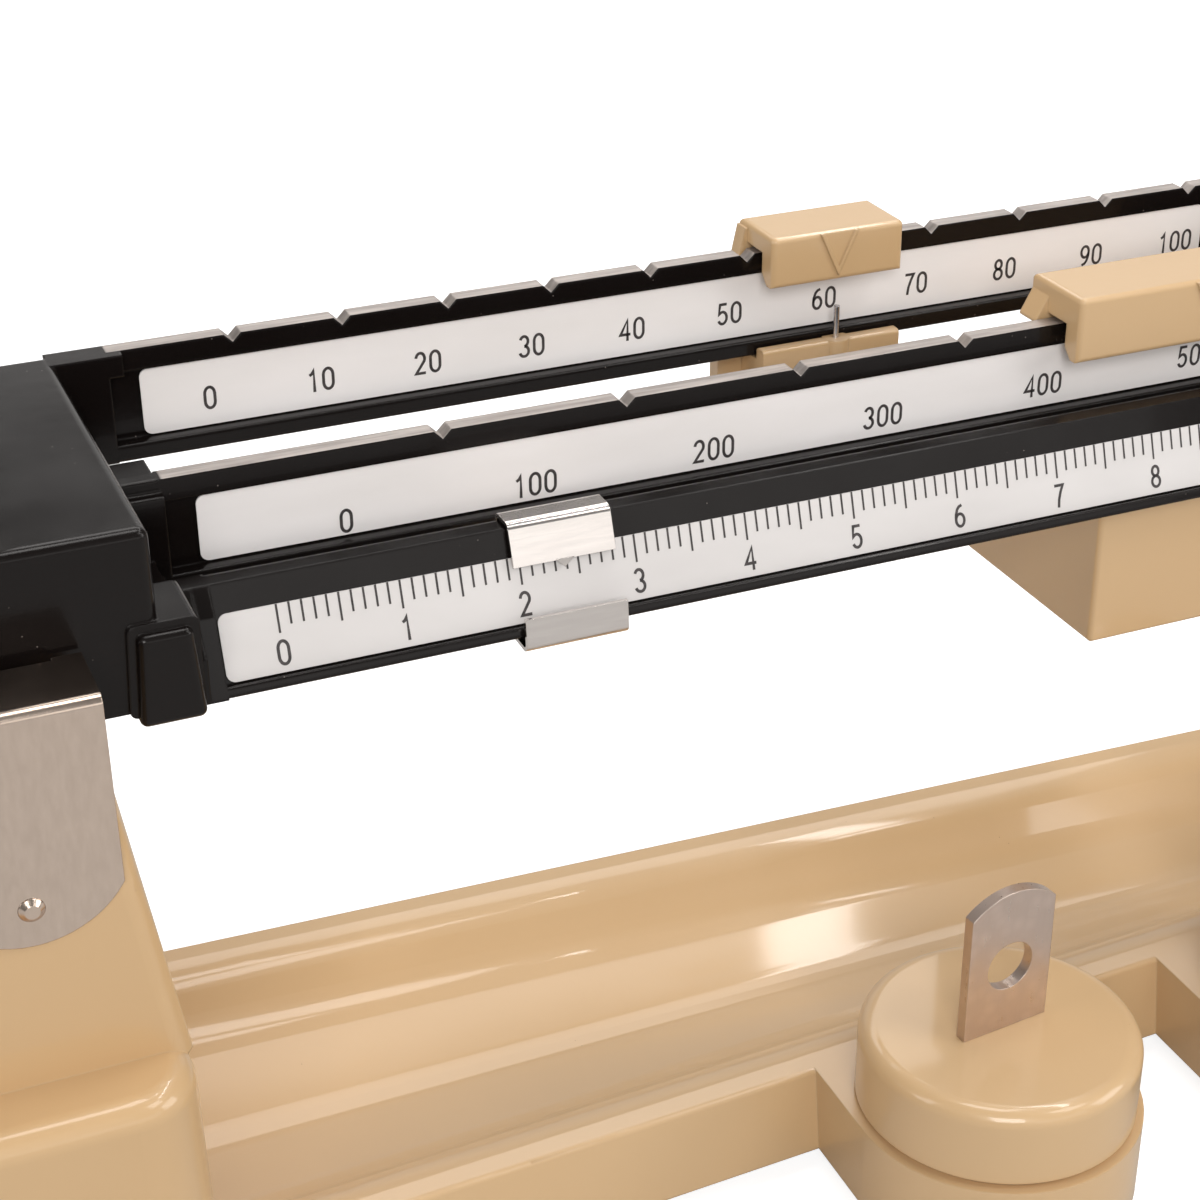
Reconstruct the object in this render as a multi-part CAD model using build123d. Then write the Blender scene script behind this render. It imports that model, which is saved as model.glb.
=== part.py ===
from build123d import *
import math
import os

# Triple beam balance with a cast base, a cast three-tier beam on knife edges,
# a lift-off pan held level by a check link, two notched poises, a clip rider
# and two lift-off attachment weights.
# Units are millimetres. +X runs along the beams to the right, +Y away from the
# reader and +Z up. The origin is on the bench, under the middle of the balance.

# Where the zero mark of the front scale stands
scale_zero_x = -38.0
scale_zero_y = -16.45
scale_zero_z = 126.0

# Levers
pivot_offset = 46.0        # main knife edge, left of the front zero mark
pan_arm = 65.0             # main knife edge to pan knife edge
link_drop = 84.0           # knife edges to check link pivots
beam_swing = 2.5           # degrees each way between the stops

# Scales
front_pitch = 20.0         # per gram
middle_pitch = 32.6        # per hundred grams
rear_pitch = 19.4          # per ten grams
middle_notches = 6
rear_notches = 11
middle_first = 34.6        # first notch, right of the front zero mark
rear_first = 9.7
front_reading = 2.37
middle_reading = 5
rear_reading = 6

# Clearances
run_gap = 0.05             # pin in a hole
slide_gap = 0.5            # poise round its beam
rest_gap = 0.1             # a lift-off piece above its seat
edge_gap = 0.04            # knife edge in its bearing
ceiling_gap = 0.9          # a poise's slot above its tier
cut_past = 1.0             # a cutter past the face that it opens

# Beam tiers
tier_left = -12.0          # left end of the scale recesses, from the zero mark
tier_right = 219.0         # right end of the three tiers
label_left = -9.3
label_right = 208.0
label_thick = 0.3
flange_deep = 3.4
web_inset = 0.8
web_thick = 1.8
tier_fillet = 0.25
lip_round = 0.5
middle_face_y_from_zero = 18.7
middle_top_z_from_zero = 15.35
middle_high = 18.95
rear_face_y_from_zero = 54.3
rear_top_z_from_zero = 23.4
rear_high = 19.3
top_flange = 3.9
bottom_flange = 3.0
bottom_lip = 2.0           # bottom flange in front of the top one
notch_deep = 1.5
notch_half = 1.5
middle_label_high = 11.5
rear_label_high = 11.9
upright_label_in = 2.6      # right of the front label's left end
label_corner = 1.5
front_tilt = 18.66         # degrees that the front face leans back
front_above = 4.8          # face above the zero line, along the slope
front_label_high = 10.8
front_thick = 3.2
front_lip = 1.7
front_lip_high = 2.0
face_margin = 0.3          # label to the edge of its recess
frame_gap = 0.4            # left frame to the front label

# Hub and fork
hub_right_from_zero = -20.8
hub_left_from_zero = -62.0
hub_front_from_zero = -14.8
hub_back_from_zero = 56.6
hub_top_from_zero = 23.5
hub_bottom_from_zero = -5.5
hub_wall = 3.0
hub_round = 1.6
arm_wide = 8.0
arm_top_from_zero = 12.0
arm_bottom_from_zero = -5.0
arm_beyond = 17.0          # fork arms past the pan knife edge
tail_thick = 7.0
boss_left_low_from_zero = -25.4
boss_right_low_from_zero = -15.2
boss_left_high_from_zero = -24.5
boss_right_high_from_zero = -16.3
boss_back_from_zero = -3.0
boss_edge = 1.2
skirt_side = 1.2           # ledge round the boss
skirt_rise = 1.3
skirt_out = 0.7            # ledge in front of the hub
boss_front_from_zero = -17.0
boss_top_from_zero = 7.6
boss_bottom_from_zero = -7.4

# Roots that carry the tiers out of the hub
root_into = 1.0            # into the hub's wall
front_root_back = 5.4      # behind the zero line
front_root_drop = 0.25     # its top under the tier's edge
front_root_bulge = 6.2     # swell in front of the zero line
front_root_bulge_down = 4.0
front_root_short = 0.5     # left of the tiers' recesses
middle_root_deep = 12.3
middle_root_back_step = 1.55
middle_root_front_step = 2.2
root_round = 0.5
rear_root_more = 2.4       # rear root's flange, right of the others
step_short = 1.5           # stepped bars between the front and middle roots
step_y = 3.0
step_low = 9.0
step_high = -0.5
step_back_more = 3.0
step_back_short = 1.2
step_back_high = 2.5
step_round = 1.0

# Knife edges and bearings
knife_half = 2.5
knife_high = 4.6
knife_out = 11.5
pan_knife_out = 12.0
bearing_half = 6.0
bearing_deep = 9.0
bearing_below = 9.0
bearing_above = 2.4
bearing_slope = 0.42       # rise of the groove's sides per millimetre
pan_bearing_deep = 6.0

# Beam tip
tip_wall = 4.0
tongue_long = 27.0
tongue_neck = 11.0
tongue_wide = 9.0
tongue_high = 8.0
tongue_root = 26.0
hook_r = 1.6
hook_out = 10.0
hook_head_r = 2.6
hook_head = 1.6
hook_in = 3.4
vane_x0_from_zero = 229.0
vane_long = 14.0
vane_thick = 1.2
vane_drop = 24.0
pointer_long = 9.0
pointer_thick = 1.0
pointer_high = 9.0

# Base casting
bench_foot = 4.0           # rubber foot showing under the casting
base_bottom = bench_foot
base_wall = 3.5
body_right_from_zero = -24.5
body_long = 138.0
body_wide = 126.0
body_top_from_zero = -56.0
body_left_top_from_zero = -70.0
body_bend = 40.0
body_draft = 1.0
body_level = 62.0          # level stretch of the top, from the right wall
body_corner = 12.0
body_edge = 4.0
pillar_top_from_zero = 2.6
pillar_half_top = 12.1
pillar_half_bottom = 21.2
pillar_deep_top = 12.0
pillar_deep_bottom = 19.0
pillar_gap = 2.4           # pillar to the hub's side
pillar_corner = 3.5
pillar_root = 2.0
stem_hole_half = 9.0
rim_z_from_zero = -105.5
valley_z_from_zero = -118.0
rim_half_left = 44.4
rim_half_right = 31.2
channel_right_from_zero = 262.0
rim_flat = 8.5
cove_in = 10.5
cove_drop = 8.2
valley_half = 3.0
rim_round = 1.0
shoulder_round = 12.0
cove_round = 20.0
valley_round = 12.0
cavity_drop = 5.5          # hollow under the rim
cavity_foot = 3.0
wall_draft = 2.4
end_thick = 24.0

# Weight seats and attachment weights
weight_r = 24.9
weight_high = 15.5
weight_round = 3.0
weight_y_from_zero = -36.8
weight_x_from_zero = 114.3
weight_step = 76.0
lobe_rim = 1.3             # lobe past the disc
lobe_wall = 4.2
lobe_into = 2.0            # into the channel's wall
peg_r = 5.4
peg_high = 2.0
tab_wide = 17.5
tab_high = 28.5
tab_thick = 2.2
tab_root = 7.0
tab_yaw = 6.0
tab_hole_r = 4.75
tab_hole_up = 13.2
tab_arch = 3.4
plug_r = 6.0
plug_up = 2.6              # plug face above the disc's underside
plug_deep = 4.4

# Bearing covers
cover_thick = 0.8
cover_half = 13.5
cover_top_from_zero = 7.0
cover_flat_bottom_from_zero = -23.4
cover_bottom_from_zero = -31.0
cover_bend = 1.6
cover_ear = 4.4
cover_notch = 0.9
cover_hub_gap = 1.3
cover_screw_up = 6.2
cover_screw_r = 1.5
cover_screw_head = 2.0
cover_screw_long = 7.0

# Poises
wrap_gap = 2.3             # apron in front of its flange
poise_round = 1.0
apron_bevel = 2.0
apron_thick = 4.3
vee_half = 3.9
vee_relief = 0.4
vee_stroke = 0.8           # across, at the top
vee_high = 8.6
vee_drop = 0.3             # mark's top under the poise's top
vee_into = 0.9
small_wide = 27.0
small_shift = 4.0          # reading mark, left of the notch
small_top = 4.6            # above the tier
small_front_high = 9.6
small_back_thick = 3.4
small_back_half_top = 14.0
small_back_half_low = 19.2
small_under = 8.0
small_wall = 2.0
small_lip_wide = 28.6
small_lip_thick = 2.9
small_lip_high = 1.9
small_boss_r = 2.6
small_boss_out = 1.0
small_boss_deep = 3.0
small_pin_right = 1.6
small_pin_into = 2.5
lip_edge = 0.8
small_pin_r = 0.55
small_pin_high = 6.2
large_wide = 56.0
large_shift = 18.0
large_top = 6.65
large_front_high = 12.1
large_back_thick = 5.4
large_back_half_top = 27.1
large_wing_half = 30.7
large_wing_low = 1.05      # wings end under the tier's top
large_back_half_low = 27.2
large_block_deep = 44.0
large_block_high = 27.0
large_block_wall = 2.2
large_block_half = 27.4
large_block_drop = 14.2    # block top under the front zero mark
large_block_front = 1.0
seat_pin_r = 1.0

# Rider
rider_wide = 17.7
rider_thick = 0.7
rider_gap = 0.5
rider_flap = 6.4
rider_hook = 5.6
rider_slack = 0.9          # under the tier's lip
rider_bend = 1.1
rider_vee = 1.6

# Pan and its support
pan_r = 75.0
pan_thick = 1.0
pan_high = 9.0
pan_corner = 5.0
pan_floor_from_zero = 38.0
collar_r = 27.0
collar_high = 4.0
collar_thick = 1.2
seat_r = 24.0
seat_thick = 3.0
pad_r = 3.0
pad_high = 1.2
pad_ring = 17.0
stem_r = 5.0
post_r = 6.5
head_wide = 11.0
head_high = 9.0
head_side_gap = 3.0        # crosshead end to fork arm

# Check link
link_thick = 3.0
link_high = 9.0
link_pin_r = 2.0
link_side = 0.3
link_eye_r = 6.0
anchor_wide = 14.0
anchor_thick = 3.0
anchor_screw_r = 1.8
anchor_ear = 7.5
anchor_half_deep = 12.0
anchor_pin_half = 6.5
anchor_screw_out = 9.0

# Zero adjuster
stud_r = 3.0
stud_long = 34.0
stud_up = 3.0
adjust_travel = 6.0
core_r = 5.5
core_long = 9.0
core_flange_r = 7.0
core_flange_long = 1.2
knob_r = 11.0
knob_long = 7.2
knob_teeth = 36
knob_tooth = 0.6
knob_edge = 0.8

# Pointer stand, index plate and damper
stand_x_from_zero = 246.5
stand_thick = 7.0
stand_half = 17.0
stand_post = 6.0
stand_bridge = 6.0
stand_sill = 14.0          # lower window above the channel's rim
stand_rail = 24.0          # lower window below the stop window
stand_foot_thick = 4.0
stand_foot_left = 16.0
magnet_gap = 1.4           # vane to magnet
magnet_thick = 5.0
magnet_wide = 11.0
magnet_high = 13.0
cheek_thick = 3.2
index_wide = 11.0
index_thick = 1.0
index_high = 34.0
rivet_r = 1.0
rivet_head_r = 1.7
rivet_head = 0.7
stand_screw_r = 2.0
stand_screw_head_r = 3.6
stand_screw_head = 2.2
stand_screw_long = 9.0
foot_r = 9.0
foot_stub_r = 4.0
foot_stub = 5.0
foot_pad_r = 10.2

# Places measured from the zero mark of the front scale
middle_face_y = scale_zero_y + middle_face_y_from_zero
middle_top_z = scale_zero_z + middle_top_z_from_zero
rear_face_y = scale_zero_y + rear_face_y_from_zero
rear_top_z = scale_zero_z + rear_top_z_from_zero
hub_right = scale_zero_x + hub_right_from_zero
hub_left = scale_zero_x + hub_left_from_zero
hub_front = scale_zero_y + hub_front_from_zero
hub_back = scale_zero_y + hub_back_from_zero
hub_top = scale_zero_z + hub_top_from_zero
hub_bottom = scale_zero_z + hub_bottom_from_zero
arm_top = scale_zero_z + arm_top_from_zero
arm_bottom = scale_zero_z + arm_bottom_from_zero
boss_left_low = scale_zero_x + boss_left_low_from_zero
boss_right_low = scale_zero_x + boss_right_low_from_zero
boss_left_high = scale_zero_x + boss_left_high_from_zero
boss_right_high = scale_zero_x + boss_right_high_from_zero
boss_back = scale_zero_y + boss_back_from_zero
boss_front = scale_zero_y + boss_front_from_zero
boss_top = scale_zero_z + boss_top_from_zero
boss_bottom = scale_zero_z + boss_bottom_from_zero
vane_x0 = scale_zero_x + vane_x0_from_zero
body_right = scale_zero_x + body_right_from_zero
body_top = scale_zero_z + body_top_from_zero
body_left_top = scale_zero_z + body_left_top_from_zero
pillar_top = scale_zero_z + pillar_top_from_zero
rim_z = scale_zero_z + rim_z_from_zero
valley_z = scale_zero_z + valley_z_from_zero
channel_right = scale_zero_x + channel_right_from_zero
weight_y = scale_zero_y + weight_y_from_zero
weight_x = scale_zero_x + weight_x_from_zero
cover_top = scale_zero_z + cover_top_from_zero
cover_flat_bottom = scale_zero_z + cover_flat_bottom_from_zero
cover_bottom = scale_zero_z + cover_bottom_from_zero
pan_floor = scale_zero_z + pan_floor_from_zero
stand_x = scale_zero_x + stand_x_from_zero

# Lines that several pieces share
pivot_x = scale_zero_x - pivot_offset
pan_x = pivot_x - pan_arm
edge_z = scale_zero_z
link_z = edge_z - link_drop
mid_y = (hub_front + hub_back) / 2
small_x = scale_zero_x + rear_first + rear_reading * rear_pitch - small_shift
large_x = scale_zero_x + middle_first + middle_reading * middle_pitch - large_shift
rider_x = scale_zero_x + front_reading * front_pitch
lean = math.radians(front_tilt)
weight_bottom = rim_z + rest_gap
face_foot = front_label_high + face_margin
weight_top = weight_bottom + weight_high
hook_x = scale_zero_x + tier_right + tip_wall / 2


def slab(x0, x1, y0, y1, z0, z1):
    """A block between two corners."""
    return Pos((x0 + x1) / 2, (y0 + y1) / 2, (z0 + z1) / 2) * Box(x1 - x0, y1 - y0, z1 - z0)


def along_x(points, x0, x1):
    """A (y, z) outline carried from x0 to x1."""
    plane = Plane(origin=(x0, 0, 0), x_dir=(0, 1, 0), z_dir=(1, 0, 0))
    return extrude(plane * make_face(Polyline(*points, close=True)), amount=x1 - x0)


def along_y(points, y0, y1):
    """An (x, z) outline carried from y0 to y1."""
    plane = Plane(origin=(0, y1, 0), x_dir=(1, 0, 0), z_dir=(0, -1, 0))
    return extrude(plane * make_face(Polyline(*points, close=True)), amount=y1 - y0)


def along_z(points, z0, z1):
    """An (x, y) outline carried from z0 to z1."""
    return extrude(Pos(0, 0, z0) * make_face(Polyline(*points, close=True)), amount=z1 - z0)


def rod_x(x0, x1, y, z, r):
    return Pos((x0 + x1) / 2, y, z) * Rot(0, 90, 0) * Cylinder(r, x1 - x0)


def rod_y(x, y0, y1, z, r):
    return Pos(x, (y0 + y1) / 2, z) * Rot(90, 0, 0) * Cylinder(r, y1 - y0)


def rod_z(x, y, z0, z1, r):
    return Pos(x, y, (z0 + z1) / 2) * Cylinder(r, z1 - z0)


def mirrored(shape):
    """The same piece on the far side of the balance."""
    return mirror(shape, about=Plane.XZ.offset(-mid_y))


def sloped(down, out=0.0):
    """A (y, z) point on the front tier's leaning face, out towards the reader."""
    y = scale_zero_y - down * math.sin(lean) - out * math.cos(lean)
    z = scale_zero_z - down * math.cos(lean) + out * math.sin(lean)
    return (y, z)


# Beam casting

def upright_tier(face_y, top_z, high, x0, x1):
    """One notched tier: top flange, recessed web and a bottom flange with a lip."""
    back_y = face_y + flange_deep
    web_y = face_y + web_inset
    under_top = top_z - top_flange
    bottom_z = top_z - high
    over_bottom = bottom_z + bottom_flange
    points = [
        (face_y, top_z), (back_y, top_z), (back_y, under_top),
        (web_y + web_thick, under_top), (web_y + web_thick, over_bottom),
        (back_y, over_bottom), (back_y, bottom_z),
        (face_y - bottom_lip, bottom_z), (face_y - bottom_lip, over_bottom),
        (web_y, over_bottom), (web_y, under_top), (face_y, under_top),
    ]
    tier = along_x(points, x0, x1)
    tier = fillet([e for e in tier.edges().filter_by(Axis.X)
                   if abs(e.center().Y - web_y) < 0.01], tier_fillet)
    return fillet([e for e in tier.edges().filter_by(Axis.X)
                   if abs(e.center().Y - face_y + bottom_lip) < 0.01], lip_round)


def notch_row(face_y, top_z, first, pitch, count):
    """Right-angled notches cut across a tier's top flange."""
    cutters = []
    wide = notch_half * (1 + cut_past / notch_deep)
    for i in range(count):
        x = scale_zero_x + first + i * pitch
        vee = [(x - wide, top_z + cut_past), (x, top_z - notch_deep), (x + wide, top_z + cut_past)]
        cutters.append(along_y(vee, face_y - cut_past, face_y + flange_deep + cut_past))
    return cutters


def front_tier(x0, x1):
    """The front tier: a leaning plate with a lip along its foot."""
    top = sloped(-front_above)
    lip_in = sloped(face_foot)
    lip_out = sloped(face_foot, front_lip)
    lip_low = sloped(face_foot + front_lip_high, front_lip)
    foot_z = lip_low[1]
    back_foot = sloped(face_foot + front_lip_high, -front_thick)
    back_top = (top[0] + front_thick / math.cos(lean), top[1])
    points = [top, back_top, (back_foot[0], foot_z), lip_low, lip_out, lip_in]
    tier = along_x(points, x0, x1)
    lips = [e for e in tier.edges().filter_by(Axis.X) if e.center().Y < lip_out[0] + 0.01]
    return fillet(lips, lip_round)


def hub_shell():
    """The box between the pillars, open underneath, with the fork for the pan."""
    outer = slab(hub_left, hub_right, hub_front, hub_back, hub_bottom, hub_top)
    rounded = outer.edges().filter_by(Axis.Z) + outer.edges().group_by(Axis.Z)[-1]
    outer = fillet(rounded, hub_round)
    fork_left = pan_x - arm_beyond
    arm = slab(fork_left, hub_left + hub_wall, hub_front, hub_front + arm_wide, arm_bottom, arm_top)
    arm = fillet(arm.edges().filter_by(Axis.X), hub_round)
    tail = slab(fork_left, fork_left + tail_thick, hub_front, hub_back, arm_bottom, arm_top)
    tail = fillet(tail.edges().filter_by(Axis.Z).group_by(Axis.X)[0], 3 * hub_round)
    return outer + arm + mirrored(arm) + tail


def hub_hollow():
    """The space inside the hub, open underneath."""
    return slab(hub_left + hub_wall, hub_right - hub_wall, hub_front + hub_wall, hub_back - hub_wall,
                min(hub_bottom, boss_bottom) - cut_past, hub_top - hub_wall)


def tier_roots():
    """Blocks that carry the three tiers out of the hub's right wall."""
    x0 = hub_right - root_into
    x1 = scale_zero_x + tier_left
    front_foot = sloped(face_foot + front_lip_high, front_lip)
    front_back_y = scale_zero_y + front_root_back
    front = along_x([sloped(-front_above), (front_back_y, scale_zero_z + front_above - front_root_drop),
                     (front_back_y, front_foot[1]), front_foot,
                     (scale_zero_y - front_root_bulge, scale_zero_z - front_root_bulge_down)],
                    x0, x1 - front_root_short)
    frame = along_x([sloped(-front_above), (front_back_y, sloped(-front_above)[1]),
                     (front_back_y, front_foot[1]), front_foot, sloped(0, front_lip)],
                    x0, scale_zero_x + label_left - frame_gap)
    middle_low = middle_top_z - middle_high
    face_y = middle_face_y
    back_y = face_y + flange_deep
    front_step_z = middle_top_z - middle_root_front_step
    back_step_z = middle_top_z - middle_root_back_step
    steps = [(face_y - bottom_lip, middle_low), (face_y - bottom_lip, front_step_z), (face_y, front_step_z),
             (face_y, middle_top_z), (back_y, middle_top_z), (back_y, back_step_z),
             (face_y + middle_root_deep, back_step_z), (face_y + middle_root_deep, middle_low)]
    middle = along_x(steps, x0, x1)
    middle = fillet([e for e in middle.edges().filter_by(Axis.X) if e.center().Z > middle_low + root_round],
                    root_round)
    rear_low = rear_top_z - rear_high
    rear = slab(x0, x1 + rear_root_more, rear_face_y - bottom_lip, rear_face_y + flange_deep,
                rear_low, rear_top_z)
    rear -= slab(x1, x1 + rear_root_more + cut_past, rear_face_y - bottom_lip - cut_past,
                 rear_face_y + web_inset, rear_low - cut_past, rear_top_z - top_flange)
    bar_y = scale_zero_y + step_y
    bars = slab(x0, x1 - step_short, bar_y, face_y, scale_zero_z - step_low, scale_zero_z + step_high)
    bars = fillet(bars.edges().filter_by(Axis.X), step_round)
    upper = slab(x0, x1 - step_short - step_back_short, bar_y + step_back_more, face_y,
                 scale_zero_z - step_low, scale_zero_z + step_back_high)
    return front + frame + middle + rear + bars + upper


def hub_boss():
    """The tapered lug at the hub's front corner, on a low ledge."""
    lug = along_y([(boss_left_low, boss_bottom), (boss_right_low, boss_bottom), (boss_right_high, boss_top),
                   (boss_left_high, boss_top)], boss_front, boss_back)
    lug = fillet(lug.edges().filter_by(Axis.Y) + lug.faces().sort_by(Axis.Y)[0].edges(), boss_edge)
    lug = lug.solids()[0]
    skirt_low = boss_bottom + skirt_rise
    skirt_top = boss_top + skirt_rise
    skirt = along_y([(boss_left_low - skirt_side, skirt_low), (boss_right_low, skirt_low),
                     (boss_right_high + skirt_side, skirt_top), (boss_left_high - skirt_side, skirt_top)],
                    hub_front - skirt_out, boss_back)
    return lug + fillet(skirt.edges().filter_by(Axis.Z, reverse=True).filter_by(Axis.Y), boss_edge)


def beam_tip():
    """The end wall that ties the tiers, and the tongue between the stops."""
    x0 = scale_zero_x + tier_right
    x1 = x0 + tip_wall
    front_foot = sloped(face_foot + front_lip_high, front_lip)
    top = sloped(-front_above)
    outline = [
        top, (middle_face_y, middle_top_z), (middle_face_y + flange_deep + 2, middle_top_z),
        (rear_face_y, rear_top_z), (rear_face_y + flange_deep, rear_top_z),
        (rear_face_y + flange_deep, rear_top_z - rear_high),
        (mid_y + tongue_wide, scale_zero_z - tongue_high), (top[0] + 4, front_foot[1]), front_foot,
    ]
    wall = along_x(outline, x0, x1)
    tongue = along_z([(x0 + 1, mid_y - tongue_root / 2), (x1, mid_y - tongue_root / 2),
                      (x1 + tongue_neck, mid_y - tongue_wide / 2),
                      (x1 + tongue_long, mid_y - tongue_wide / 2),
                      (x1 + tongue_long, mid_y + tongue_wide / 2),
                      (x1 + tongue_neck, mid_y + tongue_wide / 2),
                      (x1, mid_y + tongue_root / 2), (x0 + 1, mid_y + tongue_root / 2)],
                     edge_z - tongue_high / 2, edge_z + tongue_high / 2)
    return wall + tongue


def knife_blade(x, y0, y1, up):
    """A three-sided knife edge; up turns its edge to the top."""
    turn = 1 if up else -1
    back = edge_z - turn * knife_high
    return along_y([(x, edge_z), (x - knife_half, back), (x + knife_half, back)], y0, y1)


main_knife_y0 = hub_front - knife_out
pan_knife_y1 = hub_front + arm_wide + pan_knife_out
front_main_knife = knife_blade(pivot_x, main_knife_y0, hub_front + hub_wall, False)
front_pan_knife = knife_blade(pan_x, hub_front + arm_wide / 2, pan_knife_y1, True)
rear_main_knife = mirrored(front_main_knife)
rear_pan_knife = mirrored(front_pan_knife)

tail_x0 = pan_x - arm_beyond
stud_z = edge_z + stud_up
stud_x0 = tail_x0 - stud_long
stud_hole = rod_x(tail_x0 - 1, tail_x0 + tail_thick - 2, mid_y, stud_z, stud_r)
vane_x1 = vane_x0 + vane_long
vane_top = edge_z - tongue_high / 2 + 3
vane_slot = slab(vane_x0, vane_x1, mid_y - vane_thick / 2, mid_y + vane_thick / 2,
                 edge_z - tongue_high / 2 - 1, vane_top)
tongue_x1 = scale_zero_x + tier_right + tip_wall + tongue_long
pointer_y0 = mid_y - tongue_wide / 2 - pointer_thick

beam = hub_shell() + tier_roots() + hub_boss() + beam_tip() - hub_hollow()
tier_x0 = scale_zero_x + tier_left - 0.5
tier_x1 = scale_zero_x + tier_right + 0.5
beam += upright_tier(middle_face_y, middle_top_z, middle_high, tier_x0, tier_x1)
beam += upright_tier(rear_face_y, rear_top_z, rear_high, tier_x0, tier_x1)
beam += front_tier(tier_x0, tier_x1)
for cutter in notch_row(middle_face_y, middle_top_z, middle_first, middle_pitch, middle_notches):
    beam -= cutter
for cutter in notch_row(rear_face_y, rear_top_z, rear_first, rear_pitch, rear_notches):
    beam -= cutter
beam -= front_main_knife + rear_main_knife + front_pan_knife + rear_pan_knife
beam -= stud_hole + vane_slot


def hook_pin(face_y, out, z):
    """A headed pin, pressed into the end wall, that hangs an attachment weight by its tab."""
    tip_y = face_y + out * hook_out
    inner_y = face_y - out * hook_in
    head_y = tip_y - out * hook_head
    shank = rod_y(hook_x, min(tip_y, inner_y), max(tip_y, inner_y), z, hook_r)
    head = rod_y(hook_x, min(tip_y, head_y), max(tip_y, head_y), z, hook_head_r)
    return shank + head


front_hook = hook_pin(sloped(0)[0], -1, scale_zero_z - 2.0)
rear_hook = hook_pin(rear_face_y + flange_deep, 1, rear_top_z - rear_high / 2)
weight_hooks = [front_hook, rear_hook]
for pin in weight_hooks:
    beam -= pin

zero_stud = rod_x(stud_x0, tail_x0 + tail_thick - 2, mid_y, stud_z, stud_r)
damper_vane = slab(vane_x0, vane_x1, mid_y - vane_thick / 2, mid_y + vane_thick / 2,
                   edge_z - tongue_high / 2 - vane_drop, vane_top)
pointer = along_y([(tongue_x1 - 10, edge_z - pointer_high / 2 + 1), (tongue_x1 - 1, edge_z - 1.6),
                   (tongue_x1 + pointer_long, edge_z - 0.3), (tongue_x1 + pointer_long, edge_z + 0.3),
                   (tongue_x1 - 1, edge_z + 1.6), (tongue_x1 - 10, edge_z + pointer_high / 2 - 1)],
                  pointer_y0, pointer_y0 + pointer_thick)


def rivet(x, y, z, long):
    """A round-headed rivet along Y, with its head towards the reader."""
    shank = rod_y(x, y - 0.2, y + long, z, rivet_r)
    head = Pos(x, y, z) * Rot(90, 0, 0) * Cone(rivet_head_r, rivet_head_r * 0.6, rivet_head,
                                               align=(Align.CENTER, Align.CENTER, Align.MIN))
    return shank + head


pointer_rivets = [rivet(tongue_x1 - dx, pointer_y0, edge_z, pointer_thick + 3) for dx in (4, 8)]
for item in pointer_rivets:
    pointer -= item
    beam -= item


def label_upright(face_y, low_z, high):
    """A thin plate with rounded corners on a tier's web."""
    x0 = scale_zero_x + label_left + upright_label_in
    x1 = scale_zero_x + label_right
    web_y = face_y + web_inset
    plate = slab(x0, x1, web_y - label_thick, web_y, low_z, low_z + high)
    return fillet(plate.edges().filter_by(Axis.Y), label_corner)


middle_scale = label_upright(middle_face_y, middle_top_z - top_flange - tier_fillet - middle_label_high,
                             middle_label_high)
rear_scale = label_upright(rear_face_y, rear_top_z - top_flange - tier_fillet - rear_label_high,
                           rear_label_high)
front_scale = along_x([sloped(0), sloped(front_label_high), sloped(front_label_high, label_thick),
                       sloped(0, label_thick)], scale_zero_x + label_left, scale_zero_x + label_right)
label_corners = [e for e in front_scale.edges() if abs(e.length - label_thick) < 0.001]
front_scale = fillet(label_corners, label_corner)


# Poises

def raised_vee(x, face_y, top_z):
    """A reading mark: two raised strokes that meet at a point."""
    head_z = top_z - vee_drop
    tip_z = top_z - vee_high
    rise = (head_z - tip_z) / vee_half
    outer = [(x - vee_half, head_z), (x, tip_z), (x + vee_half, head_z)]
    half = vee_half - vee_stroke
    inner = [(x - half - cut_past, head_z + cut_past * rise), (x, head_z - half * rise),
             (x + half + cut_past, head_z + cut_past * rise)]
    mark = along_y(outer, face_y - vee_relief, face_y + vee_into)
    return mark - along_y(inner, face_y - vee_relief - cut_past, face_y)


def saddle(x, half, front_y, inner_y, back_y, low_z, ceiling, top_z):
    """A poise's top and apron: one section along the tier, with rounded outer edges."""
    points = [(front_y, top_z), (back_y, top_z), (back_y, ceiling), (inner_y, ceiling),
              (inner_y, low_z + apron_bevel), (inner_y - apron_bevel, low_z), (front_y, low_z)]
    body = along_x(points, x - half, x + half)
    top = body.faces().sort_by(Axis.Z)[-1]
    front = body.faces().sort_by(Axis.Y)[0]
    rims = [e for e in top.edges() if abs(e.center().Y - front_y) > 0.01]
    return fillet(rims + front.edges(), poise_round)


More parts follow.
